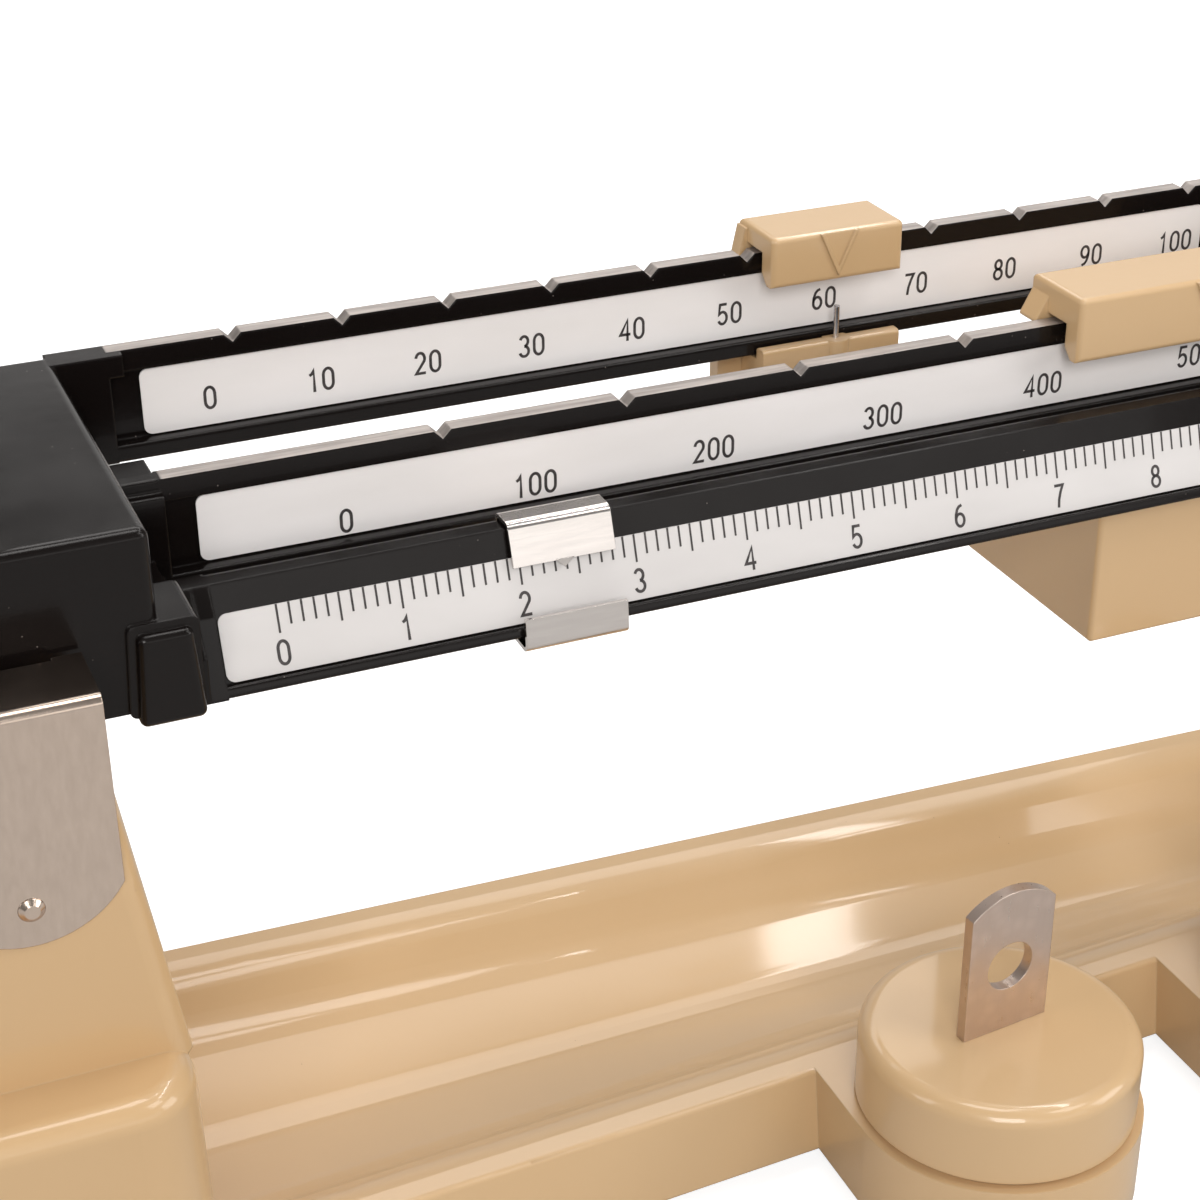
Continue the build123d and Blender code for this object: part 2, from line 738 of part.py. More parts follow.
def small_poise():
    """The 100 g poise: saddle, apron, flared back and a tray with a lip below."""
    half = small_wide / 2
    front_y = rear_face_y - wrap_gap - apron_thick
    back_in = rear_face_y + flange_deep + slide_gap
    back_y = back_in + small_back_thick
    top_z = rear_top_z + small_top
    under_z = rear_top_z - rear_high - slide_gap
    body = saddle(small_x, half, front_y, rear_face_y - wrap_gap, back_y, top_z - small_front_high,
                  rear_top_z + ceiling_gap, top_z)
    flare = [(small_x - small_back_half_top, top_z - poise_round), (small_x - small_back_half_low, under_z),
             (small_x - small_back_half_low, under_z - small_under),
             (small_x + small_back_half_low, under_z - small_under),
             (small_x + small_back_half_low, under_z), (small_x + small_back_half_top, top_z - poise_round)]
    back = along_y(flare, back_in, back_y)
    back = fillet(back.edges().filter_by(Axis.Y).group_by(Axis.Z)[0], 2 * poise_round)
    lip_y = rear_face_y - bottom_lip - slide_gap
    lip_front = lip_y - small_lip_thick
    lip_half = small_lip_wide / 2
    lip_z = under_z + small_lip_high + slide_gap
    tray_low = under_z - small_under
    tray = slab(small_x - lip_half, small_x + lip_half, lip_front, back_y, tray_low, under_z)
    tray -= slab(small_x - lip_half + small_wall, small_x + lip_half - small_wall,
                 lip_front + small_wall, back_in, tray_low - cut_past, under_z - small_wall)
    lip = slab(small_x - lip_half, small_x + lip_half, lip_front, lip_y, under_z - small_wall, lip_z)
    lip = fillet(lip.edges().filter_by(Axis.X).group_by(Axis.Z)[-1], lip_edge)
    boss = rod_z(small_x + small_pin_right, lip_front - small_boss_out + small_boss_r,
                 lip_z - small_boss_deep, lip_z, small_boss_r)
    boss &= slab(small_x - lip_half, small_x + lip_half, lip_front - small_boss_out, lip_y, tray_low, lip_z)
    mark = raised_vee(small_x, front_y, top_z)
    return body + back + tray + lip + boss + mark


def large_poise():
    """The 500 g poise: saddle, apron and back over the tier, and a hollow block below."""
    half = large_wide / 2
    front_y = middle_face_y - wrap_gap - apron_thick
    back_in = middle_face_y + flange_deep + slide_gap
    back_y = back_in + large_back_thick
    top_z = middle_top_z + large_top
    block_top = scale_zero_z - large_block_drop
    block_low = block_top - large_block_high
    body = saddle(large_x, half, front_y, middle_face_y - wrap_gap, back_y, top_z - large_front_high,
                  middle_top_z + ceiling_gap, top_z)
    wing_z = middle_top_z - large_wing_low
    wing_top = top_z - poise_round
    wings = along_y([(large_x - large_back_half_top, wing_top), (large_x - large_wing_half, wing_z),
                     (large_x + large_wing_half, wing_z), (large_x + large_back_half_top, wing_top)],
                    back_in, back_y)
    wings = fillet(wings.edges().filter_by(Axis.Y).group_by(Axis.Z)[0], root_round)
    back = slab(large_x - large_back_half_low, large_x + large_back_half_low, back_in, back_y,
                block_top - large_block_wall, middle_top_z)
    y0 = scale_zero_y + large_block_front
    y1 = y0 + large_block_deep
    block = slab(large_x - large_block_half, large_x + large_block_half, y0, y1, block_low, block_top)
    block = fillet(block.edges().filter_by(Axis.Z), poise_round)
    block = chamfer(block.faces().sort_by(Axis.Z)[0].edges(), poise_round / 2)
    wall = large_block_wall
    hollow = slab(large_x - large_block_half + wall, large_x + large_block_half - wall,
                  y0 + wall, y1 - wall, block_low - cut_past, block_top - wall)
    mark = raised_vee(large_x, front_y, top_z)
    return body + wings + back + block - hollow + mark


def seat_pin(x, face_y, top_z, back_in):
    """A steel pin across a poise's slot that rests over the notch."""
    y0 = face_y - wrap_gap - apron_thick / 2
    return rod_y(x, y0, back_in + slide_gap + apron_thick / 2, top_z + rest_gap + seat_pin_r, seat_pin_r)


small_seat_pin = seat_pin(small_x + small_shift, rear_face_y, rear_top_z, rear_face_y + flange_deep)
large_seat_pin = seat_pin(large_x + large_shift, middle_face_y, middle_top_z, middle_face_y + flange_deep)
small_pin_y = rear_face_y - bottom_lip - slide_gap - small_lip_thick - small_boss_out + small_boss_r
lip_top_z = rear_top_z - rear_high + small_lip_high
small_pin = rod_z(small_x + small_pin_right, small_pin_y, lip_top_z - small_pin_into,
                  lip_top_z + small_pin_high, small_pin_r)
poise_100 = small_poise() - small_seat_pin - small_pin
poise_500 = large_poise() - large_seat_pin


def rider_clip():
    """The 10 g rider: one strip bent over the front tier and under its lip."""
    far = rider_gap + rider_thick / 2
    top_y, top_z = sloped(-front_above)
    back_y = top_y + front_thick / math.cos(lean)
    foot_y, foot_z = sloped(face_foot + front_lip_high, front_lip)
    low_z = foot_z - far - rider_slack
    flap_end = sloped(rider_flap - front_above, label_thick + far)
    ridge = sloped(-front_above - 0.9, label_thick + far - 0.1)
    path = [
        flap_end,
        (ridge[0], top_z + far),
        (back_y + far, top_z + far),
        (back_y + far, top_z - 3),
        (sloped(face_foot, -front_thick - far)[0] + 0.3, low_z),
        (foot_y - far - 0.3, low_z),
        (foot_y - far + 0.2, low_z + rider_hook),
    ]
    line = FilletPolyline(*path, radius=rider_bend)
    face = trace(line, rider_thick)
    plane = Plane(origin=(rider_x - rider_wide / 2, 0, 0), x_dir=(0, 1, 0), z_dir=(1, 0, 0))
    strip = extrude(plane * face, amount=rider_wide)
    end_y, end_z = flap_end
    point = along_y([(rider_x - rider_vee, end_z + 0.3), (rider_x, end_z - rider_vee * 0.8),
                     (rider_x + rider_vee, end_z + 0.3)],
                    end_y - rider_thick / 2, end_y + rider_thick / 2 - 0.1)
    return strip + point


# Pan, its support and the check link

def pan_dish():
    """A spun dish with a rolled rim."""
    c = pan_corner
    t = pan_thick
    outer = make_face(Polyline((0, 0), (pan_r - c, 0), (pan_r, c), (pan_r, pan_high),
                               (pan_r - 1.8 * t, pan_high), (pan_r - 1.8 * t, pan_high - 1.4 * t),
                               (pan_r - t, pan_high - 1.8 * t), (pan_r - t, c + 0.2 * t),
                               (pan_r - c - 0.3 * t, t), (0, t), close=True))
    dish = revolve(Plane.XZ * outer, Axis.Z)
    return Pos(pan_x, mid_y, pan_floor - t) * dish


pan = pan_dish()
pan_under = pan_floor - pan_thick
pan_collar = rod_z(pan_x, mid_y, pan_under - collar_high, pan_under, collar_r)
pan_collar -= rod_z(pan_x, mid_y, pan_under - collar_high - 1, pan_under + 1, collar_r - collar_thick)

pad_top = pan_under - rest_gap
seat_z1 = pad_top - pad_high + 0.4
fork_in = hub_front + arm_wide
head_y0 = fork_in + head_side_gap
head_y1 = 2 * mid_y - head_y0
head_z0 = edge_z + knife_high + 0.6
bearing_y0 = head_y0 + 0.5
support = slab(pan_x - head_wide / 2, pan_x + head_wide / 2, head_y0, head_y1, head_z0, head_z0 + head_high)
support = fillet(support.edges().filter_by(Axis.Z), 2.5)
support += rod_z(pan_x, mid_y, head_z0, seat_z1 - seat_thick + 0.5, post_r)
support += rod_z(pan_x, mid_y, seat_z1 - seat_thick, seat_z1, seat_r)
support += rod_z(pan_x, mid_y, link_z - link_eye_r, head_z0 + 2, stem_r)

pan_bearing = slab(pan_x - head_wide / 2, pan_x + head_wide / 2, bearing_y0, bearing_y0 + pan_bearing_deep,
                   edge_z - 2.2, head_z0 + 2)
groove_rise = bearing_slope * head_wide
pan_groove = along_y([(pan_x - head_wide, edge_z + edge_gap - 2 * groove_rise), (pan_x, edge_z + edge_gap),
                      (pan_x + head_wide, edge_z + edge_gap - 2 * groove_rise)],
                     bearing_y0 - 1, bearing_y0 + pan_bearing_deep + 1)
pan_bearing -= pan_groove
pan_bearings = [pan_bearing, mirrored(pan_bearing)]
for item in pan_bearings:
    support -= item

seat_pads = []
for i in range(3):
    angle = math.radians(90 + 120 * i)
    x = pan_x + pad_ring * math.cos(angle)
    y = mid_y + pad_ring * math.sin(angle)
    seat_pads.append(rod_z(x, y, pad_top - pad_high, pad_top, pad_r))
for item in seat_pads:
    support -= item

link_y0 = mid_y - link_thick / 2
link_y1 = mid_y + link_thick / 2
fork_slot = slab(pan_x - stem_r - 1, pan_x + stem_r + 1, link_y0 - link_side, link_y1 + link_side,
                 link_z - link_eye_r - 1, link_z + link_eye_r + 1.5)
support -= fork_slot
check_pin = rod_y(pan_x, mid_y - stem_r + 0.3, mid_y + stem_r - 0.3, link_z, link_pin_r)
support -= check_pin

check_link = slab(pan_x, pivot_x, link_y0, link_y1, link_z - link_high / 2, link_z + link_high / 2)
check_link += rod_y(pan_x, link_y0, link_y1, link_z, link_eye_r)
check_link += rod_y(pivot_x, link_y0, link_y1, link_z, link_eye_r)
for x in (pan_x, pivot_x):
    check_link -= rod_y(x, link_y0 - 1, link_y1 + 1, link_z, link_pin_r + run_gap)
slot_a = pan_x + 2 * link_eye_r
slot_b = pivot_x - 2 * link_eye_r
window = slab(slot_a, slot_b, link_y0 - 1, link_y1 + 1, link_z - link_high / 5, link_z + link_high / 5)
check_link -= fillet(window.edges().filter_by(Axis.Y), link_high / 5 - 0.05)

body_inner_top = body_top - base_wall
anchor_half = anchor_wide / 2
ear_y = link_y1 + link_side
check_anchor = slab(pivot_x - anchor_half, pivot_x + anchor_half,
                    mid_y - anchor_half_deep, mid_y + anchor_half_deep,
                    body_inner_top - anchor_thick, body_inner_top)
ear = slab(pivot_x - anchor_half, pivot_x + anchor_half, ear_y, ear_y + anchor_thick,
           link_z - anchor_ear, body_inner_top)
ear = fillet(ear.edges().filter_by(Axis.Y).group_by(Axis.Z)[0], 5.0)
check_anchor += ear + mirrored(ear)
anchor_pin = rod_y(pivot_x, mid_y - anchor_pin_half, mid_y + anchor_pin_half, link_z, link_pin_r)
check_anchor -= anchor_pin
anchor_screws = []
for y in (mid_y - anchor_screw_out, mid_y + anchor_screw_out):
    low = body_inner_top - anchor_thick
    screw = rod_z(pivot_x, y, low - 1.4, body_top - 1.2, anchor_screw_r)
    screw += rod_z(pivot_x, y, low - 1.4, low, anchor_screw_r + 1.2)
    anchor_screws.append(screw)
    check_anchor -= screw


# Zero adjuster

core_x1 = tail_x0 - adjust_travel - 3
core_x0 = core_x1 - core_long
zero_core = rod_x(core_x0, core_x1, mid_y, stud_z, core_r)
zero_core += rod_x(core_x1 - core_flange_long, core_x1, mid_y, stud_z, core_flange_r)
zero_core -= rod_x(core_x0 - 1, core_x1 + 1, mid_y, stud_z, stud_r + run_gap)
knob_x0 = core_x1 - core_flange_long - run_gap * 2 - knob_long
knob_turned = rod_x(knob_x0, knob_x0 + knob_long, mid_y, stud_z, knob_r)
knob_turned = chamfer(knob_turned.edges().filter_by(GeomType.CIRCLE), knob_edge)
teeth = []
for i in range(2 * knob_teeth):
    angle = math.pi * i / knob_teeth
    reach = knob_r + knob_edge / 4 if i % 2 else knob_r - knob_tooth
    teeth.append((mid_y + reach * math.cos(angle), stud_z + reach * math.sin(angle)))
zero_knob = knob_turned & along_x(teeth, knob_x0 - cut_past, knob_x0 + knob_long + cut_past)
zero_knob -= rod_x(knob_x0 - cut_past, knob_x0 + knob_long + cut_past, mid_y, stud_z, core_r + run_gap)


# Base casting

def trough_half(x):
    """Half width of the channel's rim at a place along it."""
    share = (x - body_right) / (channel_right - body_right)
    return rim_half_left + share * (rim_half_right - rim_half_left)


def channel_section(x):
    """Outline of the channel: outer walls, rims, rounded shoulders, coves and the valley."""
    w = trough_half(x)
    right = [(w + wall_draft, base_bottom), (w, rim_z), (w - rim_flat, rim_z),
             (w - rim_flat - cove_in, rim_z - cove_drop), (valley_half, valley_z)]
    points = [(mid_y + y, z) for y, z in right]
    points += [(mid_y - y, z) for y, z in reversed(right)]
    bends = [rim_round, shoulder_round, cove_round, valley_round]
    outline = FilletPolyline(*points, radius=bends + bends[::-1]) + Line(points[-1], points[0])
    plane = Plane(origin=(x, 0, 0), x_dir=(0, 1, 0), z_dir=(1, 0, 0))
    return plane * make_face(outline.edges())


def channel_cavity(x, side):
    """Hollow under one rim of the channel, open at the bottom."""
    w = trough_half(x)
    inner_y = w - rim_flat - cove_in
    low_z = base_bottom - cut_past
    roof_z = rim_z - cavity_drop
    inner = [(w + wall_draft - base_wall, low_z), (w - base_wall, roof_z), (w - rim_flat, roof_z),
             (inner_y - cavity_foot / 3, rim_z - cove_drop - base_wall), (inner_y - cavity_foot, low_z)]
    points = [(mid_y + side * y, z) for y, z in inner]
    plane = Plane(origin=(x, 0, 0), x_dir=(0, 1, 0), z_dir=(1, 0, 0))
    return plane * make_face(Polyline(*points, close=True))


def left_body():
    """The tall box that carries the pillars and hides the check link."""
    x0 = body_right - body_long
    bend_x = body_right - body_level
    side = [(x0, base_bottom), (body_right, base_bottom), (body_right, body_top), (bend_x, body_top),
            (x0, body_left_top)]
    y0 = mid_y - body_wide / 2
    y1 = mid_y + body_wide / 2
    profile = along_y(side, y0, y1)
    bend = [e for e in profile.edges().filter_by(Axis.Y)
            if abs(e.center().X - bend_x) < 0.01 and e.center().Z > body_left_top]
    profile = fillet(bend, body_bend)
    cx = (x0 + body_right) / 2
    plan = Pos(cx, mid_y, base_bottom) * RectangleRounded(body_long, body_wide, body_corner)
    outer = profile & extrude(plan, amount=body_top, taper=body_draft)
    crown = []
    for face in outer.faces():
        if face.normal_at(face.center()).Z > 0.5:
            crown += [e for e in face.edges()
                      if abs(e.center().Y - mid_y) > 1 or abs(e.center().X - cx) > body_long / 2 - 4]
    outer = fillet(crown, body_edge)
    w = base_wall
    inside = [(x0 + w, base_bottom - 1), (body_right - w, base_bottom - 1), (body_right - w, body_top - w),
              (bend_x, body_top - w), (x0 + w, body_left_top - w)]
    inner = along_y(inside, y0 + w, y1 - w)
    inner_plan = Pos((x0 + body_right) / 2, mid_y, base_bottom - 1) * RectangleRounded(
        body_long - 2 * w, body_wide - 2 * w, body_corner - w)
    inner &= extrude(inner_plan, amount=body_top)
    return outer - inner


def pillar():
    """The front pillar: upright front, sides and back that spread downwards."""
    front_y = hub_front - pillar_gap - pillar_deep_top
    top = Pos(pivot_x, front_y + pillar_deep_top / 2, pillar_top) * RectangleRounded(
        2 * pillar_half_top, pillar_deep_top, pillar_corner)
    foot_z = body_top - pillar_root
    foot = Pos(pivot_x, front_y + pillar_deep_bottom / 2, foot_z) * RectangleRounded(
        2 * pillar_half_bottom, pillar_deep_bottom, pillar_corner)
    post = loft([foot, top])
    pocket = slab(pivot_x - bearing_half, pivot_x + bearing_half, front_y + 1.5,
                  front_y + pillar_deep_top + 8, edge_z - bearing_below, pillar_top + 1)
    return post - pocket


pillar_front_y = hub_front - pillar_gap - pillar_deep_top
bearing_y1 = pillar_front_y + 1.5 + bearing_deep
front_bearing = slab(pivot_x - bearing_half, pivot_x + bearing_half, pillar_front_y + 1.5, bearing_y1,
                     edge_z - bearing_below, edge_z + bearing_above)
groove_top = edge_z - edge_gap + 2 * bearing_slope * bearing_half
front_bearing -= along_y([(pivot_x - 2 * bearing_half, groove_top + 0), (pivot_x, edge_z - edge_gap),
                          (pivot_x + 2 * bearing_half, groove_top + 0),
                          (pivot_x + 2 * bearing_half, groove_top + 5),
                          (pivot_x - 2 * bearing_half, groove_top + 5)],
                         pillar_front_y, bearing_y1 + 1)
rear_bearing = mirrored(front_bearing)


def cover():
    """A bent plate: upright face with a rounded foot and a flange over the bearing."""
    face_y = pillar_front_y - cover_thick
    flange_y = hub_front - cover_hub_gap
    profile = [(face_y, cover_bottom), (face_y, cover_top), (flange_y, cover_top),
               (flange_y, cover_top - cover_thick), (pillar_front_y, cover_top - cover_thick),
               (pillar_front_y, cover_bottom)]
    sheet = along_x(profile, pivot_x - cover_half, pivot_x + cover_half)
    bend_out = [e for e in sheet.edges().filter_by(Axis.X)
                if abs(e.center().Y - face_y) < 0.01 and abs(e.center().Z - cover_top) < 0.01]
    sheet = fillet(bend_out, cover_bend)
    sheet = fillet([e for e in sheet.edges().filter_by(Axis.X)
                    if abs(e.center().Y - pillar_front_y) < 0.01
                    and abs(e.center().Z - cover_top + cover_thick) < 0.01],
                   cover_bend - cover_thick)
    drop = cover_flat_bottom - cover_bottom
    big_r = (cover_half ** 2 + drop ** 2) / (2 * drop)
    disc = rod_y(pivot_x, face_y - 1, pillar_front_y + 1, cover_bottom + big_r, big_r)
    keep = slab(pivot_x - cover_half - 1, pivot_x + cover_half + 1, face_y - 1, flange_y + 1,
                cover_flat_bottom, cover_top + 1)
    sheet = sheet & (disc + keep)
    gap = slab(pivot_x - cover_half + cover_ear, pivot_x + cover_half - cover_ear, flange_y - cover_notch,
               flange_y + 1, cover_top - 2, cover_top + 1)
    return sheet - gap


def cover_screw():
    """A domed screw through the cover's foot into the pillar."""
    face_y = pillar_front_y - cover_thick
    z = cover_bottom + cover_screw_up
    shank = rod_y(pivot_x, face_y - 0.1, face_y + cover_screw_long, z, cover_screw_r * 0.7)
    head = Pos(pivot_x, face_y, z) * Rot(90, 0, 0) * Cone(cover_screw_head, cover_screw_head * 0.55, 0.8,
                                                         align=(Align.CENTER, Align.CENTER, Align.MIN))
    return shank + head


front_cover = cover() - cover_screw()
rear_cover = mirrored(front_cover)
cover_screws = [cover_screw(), mirrored(cover_screw())]

base = loft([channel_section(body_right - 1), channel_section(channel_right)], ruled=True)
for side in (-1, 1):
    base -= loft([channel_cavity(body_right + 6, side), channel_cavity(channel_right - end_thick, side)],
                 ruled=True)
base += slab(channel_right - end_thick, channel_right, mid_y - 0.75 * rim_half_right,
             mid_y + 0.75 * rim_half_right, base_bottom, rim_z)
base += left_body()
front_pillar = pillar()
base += front_pillar + mirrored(front_pillar)

lobe_r = weight_r + lobe_rim
seat_xs = [weight_x, weight_x + weight_step]
for x in seat_xs:
    inner_y = mid_y - trough_half(x) + lobe_into
    lobe = rod_z(x, weight_y, base_bottom, rim_z, lobe_r)
    lobe += slab(x - lobe_r, x + lobe_r, weight_y, inner_y, base_bottom, rim_z)
    lobe &= slab(x - lobe_r, x + lobe_r, weight_y - lobe_r, inner_y, base_bottom, rim_z)
    lobe -= rod_z(x, weight_y, base_bottom - 1, rim_z - base_wall, lobe_r - lobe_wall)
    lobe += rod_z(x, weight_y, rim_z - 1, rim_z + peg_high, peg_r)
    base += lobe

stem_hole = slab(pan_x - stem_hole_half, pan_x + stem_hole_half, mid_y - stem_hole_half,
                 mid_y + stem_hole_half, body_left_top - 10, body_top + 1)
base -= fillet(stem_hole.edges().filter_by(Axis.Z), 3.0)
for item in cover_screws + anchor_screws:
    base -= item
for item in (front_bearing, rear_bearing):
    base -= item

feet_xy = []
for y in (mid_y - body_wide / 2 + body_corner, mid_y + body_wide / 2 - body_corner):
    feet_xy.append((body_right - body_long + body_corner, y))
for y in (mid_y - 0.62 * rim_half_right, mid_y + 0.62 * rim_half_right):
    feet_xy.append((channel_right - end_thick / 2, y))
rubber_feet = []
for x, y in feet_xy:
    foot = Pos(x, y, 0) * Cone(foot_r - 1, foot_r, base_bottom,
                               align=(Align.CENTER, Align.CENTER, Align.MIN))
    foot += rod_z(x, y, base_bottom - 0.5, base_bottom + foot_stub, foot_stub_r)
    pad = rod_z(x, y, base_bottom, base_bottom + foot_stub + 4, foot_pad_r)
    base += pad
    base -= foot
    rubber_feet.append(foot)


# Pointer stand, index plate and damper magnets

stand_x1 = stand_x + stand_thick
swing = math.radians(beam_swing)
stop_rise = (tongue_x1 - pivot_x) * math.sin(swing) + 0.4
window_z0 = edge_z - tongue_high / 2 - stop_rise
window_z1 = edge_z + tongue_high / 2 + stop_rise
stand_top = window_z1 + stand_bridge
stand = slab(stand_x, stand_x1, mid_y - stand_half, mid_y + stand_half, rim_z, stand_top)
stand = fillet(stand.edges().filter_by(Axis.X).group_by(Axis.Z)[-1], 4.0)
stand -= slab(stand_x - 1, stand_x1 + 1, mid_y - stand_half + stand_post, mid_y + stand_half - stand_post,
              window_z0, window_z1)
lower_window = slab(stand_x - 1, stand_x1 + 1, mid_y - stand_half + stand_post,
                    mid_y + stand_half - stand_post, rim_z + stand_sill, window_z0 - stand_rail)
stand -= fillet(lower_window.edges().filter_by(Axis.X), 3.0)
stand += slab(stand_x - stand_foot_left, stand_x1, mid_y - stand_half, mid_y + stand_half, rim_z,
              rim_z + stand_foot_thick)
magnet_z1 = window_z0 - 1.5
magnet_z0 = magnet_z1 - magnet_high
magnet_x0 = vane_x0 + 1.0
magnet_y1 = mid_y - vane_thick / 2 - magnet_gap
front_magnet = slab(magnet_x0, magnet_x0 + magnet_wide, magnet_y1 - magnet_thick, magnet_y1,
                    magnet_z0, magnet_z1)
damper_magnets = [front_magnet, mirrored(front_magnet)]
cheek = slab(magnet_x0 - 1, stand_x + 1, magnet_y1 - magnet_thick - cheek_thick, magnet_y1 - magnet_thick,
             magnet_z0 - 2, magnet_z1)
stand += cheek + mirrored(cheek)
stand_screws = []
for y in (mid_y - stand_half + 5, mid_y + stand_half - 5):
    x = stand_x - stand_foot_left + 6
    z = rim_z + stand_foot_thick
    screw = rod_z(x, y, z - stand_screw_long, z + 0.1, stand_screw_r)
    head = rod_z(x, y, z, z + stand_screw_head, stand_screw_head_r)
    head = chamfer(head.edges().group_by(Axis.Z)[-1], stand_screw_head / 2)
    screw += head
    stand_screws.append(screw)
    stand -= screw
    base -= screw

index_y0 = mid_y - tongue_wide / 2 - pointer_thick - 1.2 - index_wide
index_plate = slab(stand_x1, stand_x1 + index_thick, index_y0, index_y0 + index_wide,
                   edge_z - index_high / 2, edge_z + index_high / 2)
index_plate = fillet(index_plate.edges().filter_by(Axis.X), 1.2)


def index_rivet(z):
    y = mid_y - stand_half + stand_post / 2
    x = stand_x1 + index_thick
    shank = rod_x(x - index_thick - 3, x + 0.1, y, z, rivet_r)
    head = Pos(x, y, z) * Rot(0, 90, 0) * Cone(rivet_head_r, rivet_head_r * 0.6, rivet_head,
                                               align=(Align.CENTER, Align.CENTER, Align.MIN))
    return shank + head


index_rivets = [index_rivet(edge_z + dz) for dz in (-index_high / 2 + 3, index_high / 2 - 3)]
for item in index_rivets:
    stand -= item
    index_plate -= item


# Attachment weights

def weight(x):
    """A cast disc with a rounded rim, a slot for its tab and a trimming plug below."""
    disc = rod_z(x, weight_y, weight_bottom, weight_top, weight_r)
    rims = disc.edges().filter_by(GeomType.CIRCLE).sort_by(Axis.Z)
    disc = fillet(rims[-1], weight_round)
    disc = chamfer(disc.edges().filter_by(GeomType.CIRCLE).sort_by(Axis.Z)[0], 1.0)
    plug_z = weight_bottom + plug_up
    plug = rod_z(x, weight_y, plug_z, plug_z + plug_deep, plug_r)
    disc -= rod_z(x, weight_y, weight_bottom - 1, plug_z + 0.1, plug_r)
    plate = slab(-tab_wide / 2, tab_wide / 2, -tab_thick / 2, tab_thick / 2, -tab_root, tab_high)
    half = tab_wide / 2
    arch_r = (half ** 2 + tab_arch ** 2) / (2 * tab_arch)
    arch = rod_y(0, -tab_thick, tab_thick, tab_high - arch_r, arch_r)
    body = slab(-half - 1, half + 1, -tab_thick, tab_thick, -tab_root - 1, tab_high - tab_arch)
    plate = plate & (arch + body)
    plate -= rod_y(0, -tab_thick, tab_thick, tab_hole_up, tab_hole_r)
    tab = Pos(x, weight_y, weight_top) * Rot(0, 0, tab_yaw) * plate
    return disc - plug - tab, tab, plug


weight_1, tab_1, plug_1 = weight(seat_xs[0])
weight_2, tab_2, plug_2 = weight(seat_xs[1])


# Named sub-parts

nodes = {
    "base_casting": [base],
    "rubber_feet": rubber_feet,
    "front_bearing": [front_bearing],
    "rear_bearing": [rear_bearing],
    "front_bearing_cover": [front_cover],
    "rear_bearing_cover": [rear_cover],
    "cover_screws": cover_screws,
    "check_anchor": [check_anchor],
    "check_anchor_pin": [anchor_pin],
    "check_anchor_screws": anchor_screws,
    "pointer_stand": [stand],
    "pointer_stand_screws": stand_screws,
    "index_plate": [index_plate],
    "index_rivets": index_rivets,
    "damper_magnets": damper_magnets,
    "beam_casting": [beam],
    "front_main_knife": [front_main_knife],
    "rear_main_knife": [rear_main_knife],
    "front_pan_knife": [front_pan_knife],
    "rear_pan_knife": [rear_pan_knife],
    "front_scale_plate": [front_scale],
    "middle_scale_plate": [middle_scale],
    "rear_scale_plate": [rear_scale],
    "weight_hooks": weight_hooks,
    "damper_vane": [damper_vane],
    "pointer": [pointer],
    "pointer_rivets": pointer_rivets,
    "zero_stud": [zero_stud],
    "zero_core": [zero_core],
    "zero_knob": [zero_knob],
    "poise_500": [poise_500],
    "poise_500_seat_pin": [large_seat_pin],
    "poise_100": [poise_100],
    "poise_100_seat_pin": [small_seat_pin],
    "poise_100_pointer_pin": [small_pin],
    "rider_10": [rider_clip()],
    "pan_support": [support],
    "pan_bearings": pan_bearings,
    "pan_seat_pads": seat_pads,
    "check_pin": [check_pin],
    "check_link": [check_link],
    "pan": [pan],
    "pan_collar": [pan_collar],
    "weight_1": [weight_1],
    "weight_1_tab": [tab_1],
    "weight_1_plug": [plug_1],
    "weight_2": [weight_2],
    "weight_2_tab": [tab_2],
    "weight_2_plug": [plug_2],
}

os.makedirs("parts", exist_ok=True)
for name, pieces in nodes.items():
    solids = []
    for piece in pieces:
        solids += piece.solids()
    shape = solids[0] if len(solids) == 1 else Compound(children=solids)
    export_step(shape, "parts/" + name + ".step")
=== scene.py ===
import math

import bmesh
import bpy
from mathutils import Matrix, Vector


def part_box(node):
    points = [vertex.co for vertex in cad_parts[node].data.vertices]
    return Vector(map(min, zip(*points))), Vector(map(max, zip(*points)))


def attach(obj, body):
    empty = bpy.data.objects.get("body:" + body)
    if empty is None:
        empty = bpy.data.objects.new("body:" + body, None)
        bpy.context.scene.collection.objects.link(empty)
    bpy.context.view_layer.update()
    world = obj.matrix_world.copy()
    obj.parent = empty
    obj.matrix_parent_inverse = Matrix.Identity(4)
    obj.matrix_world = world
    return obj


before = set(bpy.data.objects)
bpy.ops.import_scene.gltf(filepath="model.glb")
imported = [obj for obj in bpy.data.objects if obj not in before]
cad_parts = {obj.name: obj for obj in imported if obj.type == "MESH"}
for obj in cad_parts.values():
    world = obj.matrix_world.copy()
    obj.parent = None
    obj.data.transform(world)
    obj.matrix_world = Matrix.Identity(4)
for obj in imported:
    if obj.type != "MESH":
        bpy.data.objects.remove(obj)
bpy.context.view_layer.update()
MM = 0.001

# The zero mark of the front scale, which every measured point starts from, and that scale's lean
ZERO = Vector((-0.038, -0.01645, 0.126))
LEAN = math.radians(18.66)

# The notched tiers, in millimetres from the zero mark: first notch, pitch, top edge, front and back.
# Their edges are ground bare from BARE_FROM on.
MIDDLE_NOTCH = 34.6
MIDDLE_PITCH = 32.6
MIDDLE_TOP = 15.35
MIDDLE_SIDES = (18.7, 22.1)
REAR_NOTCH = 9.7
REAR_PITCH = 19.4
REAR_TOP = 23.4
REAR_SIDES = (54.3, 57.7)
BARE_FROM = -12.0

# Half a notch's width, and its depth
NOTCH_HALF = 2.0
NOTCH_DEEP = 1.9


# Camera, fitted to marks on the three scales

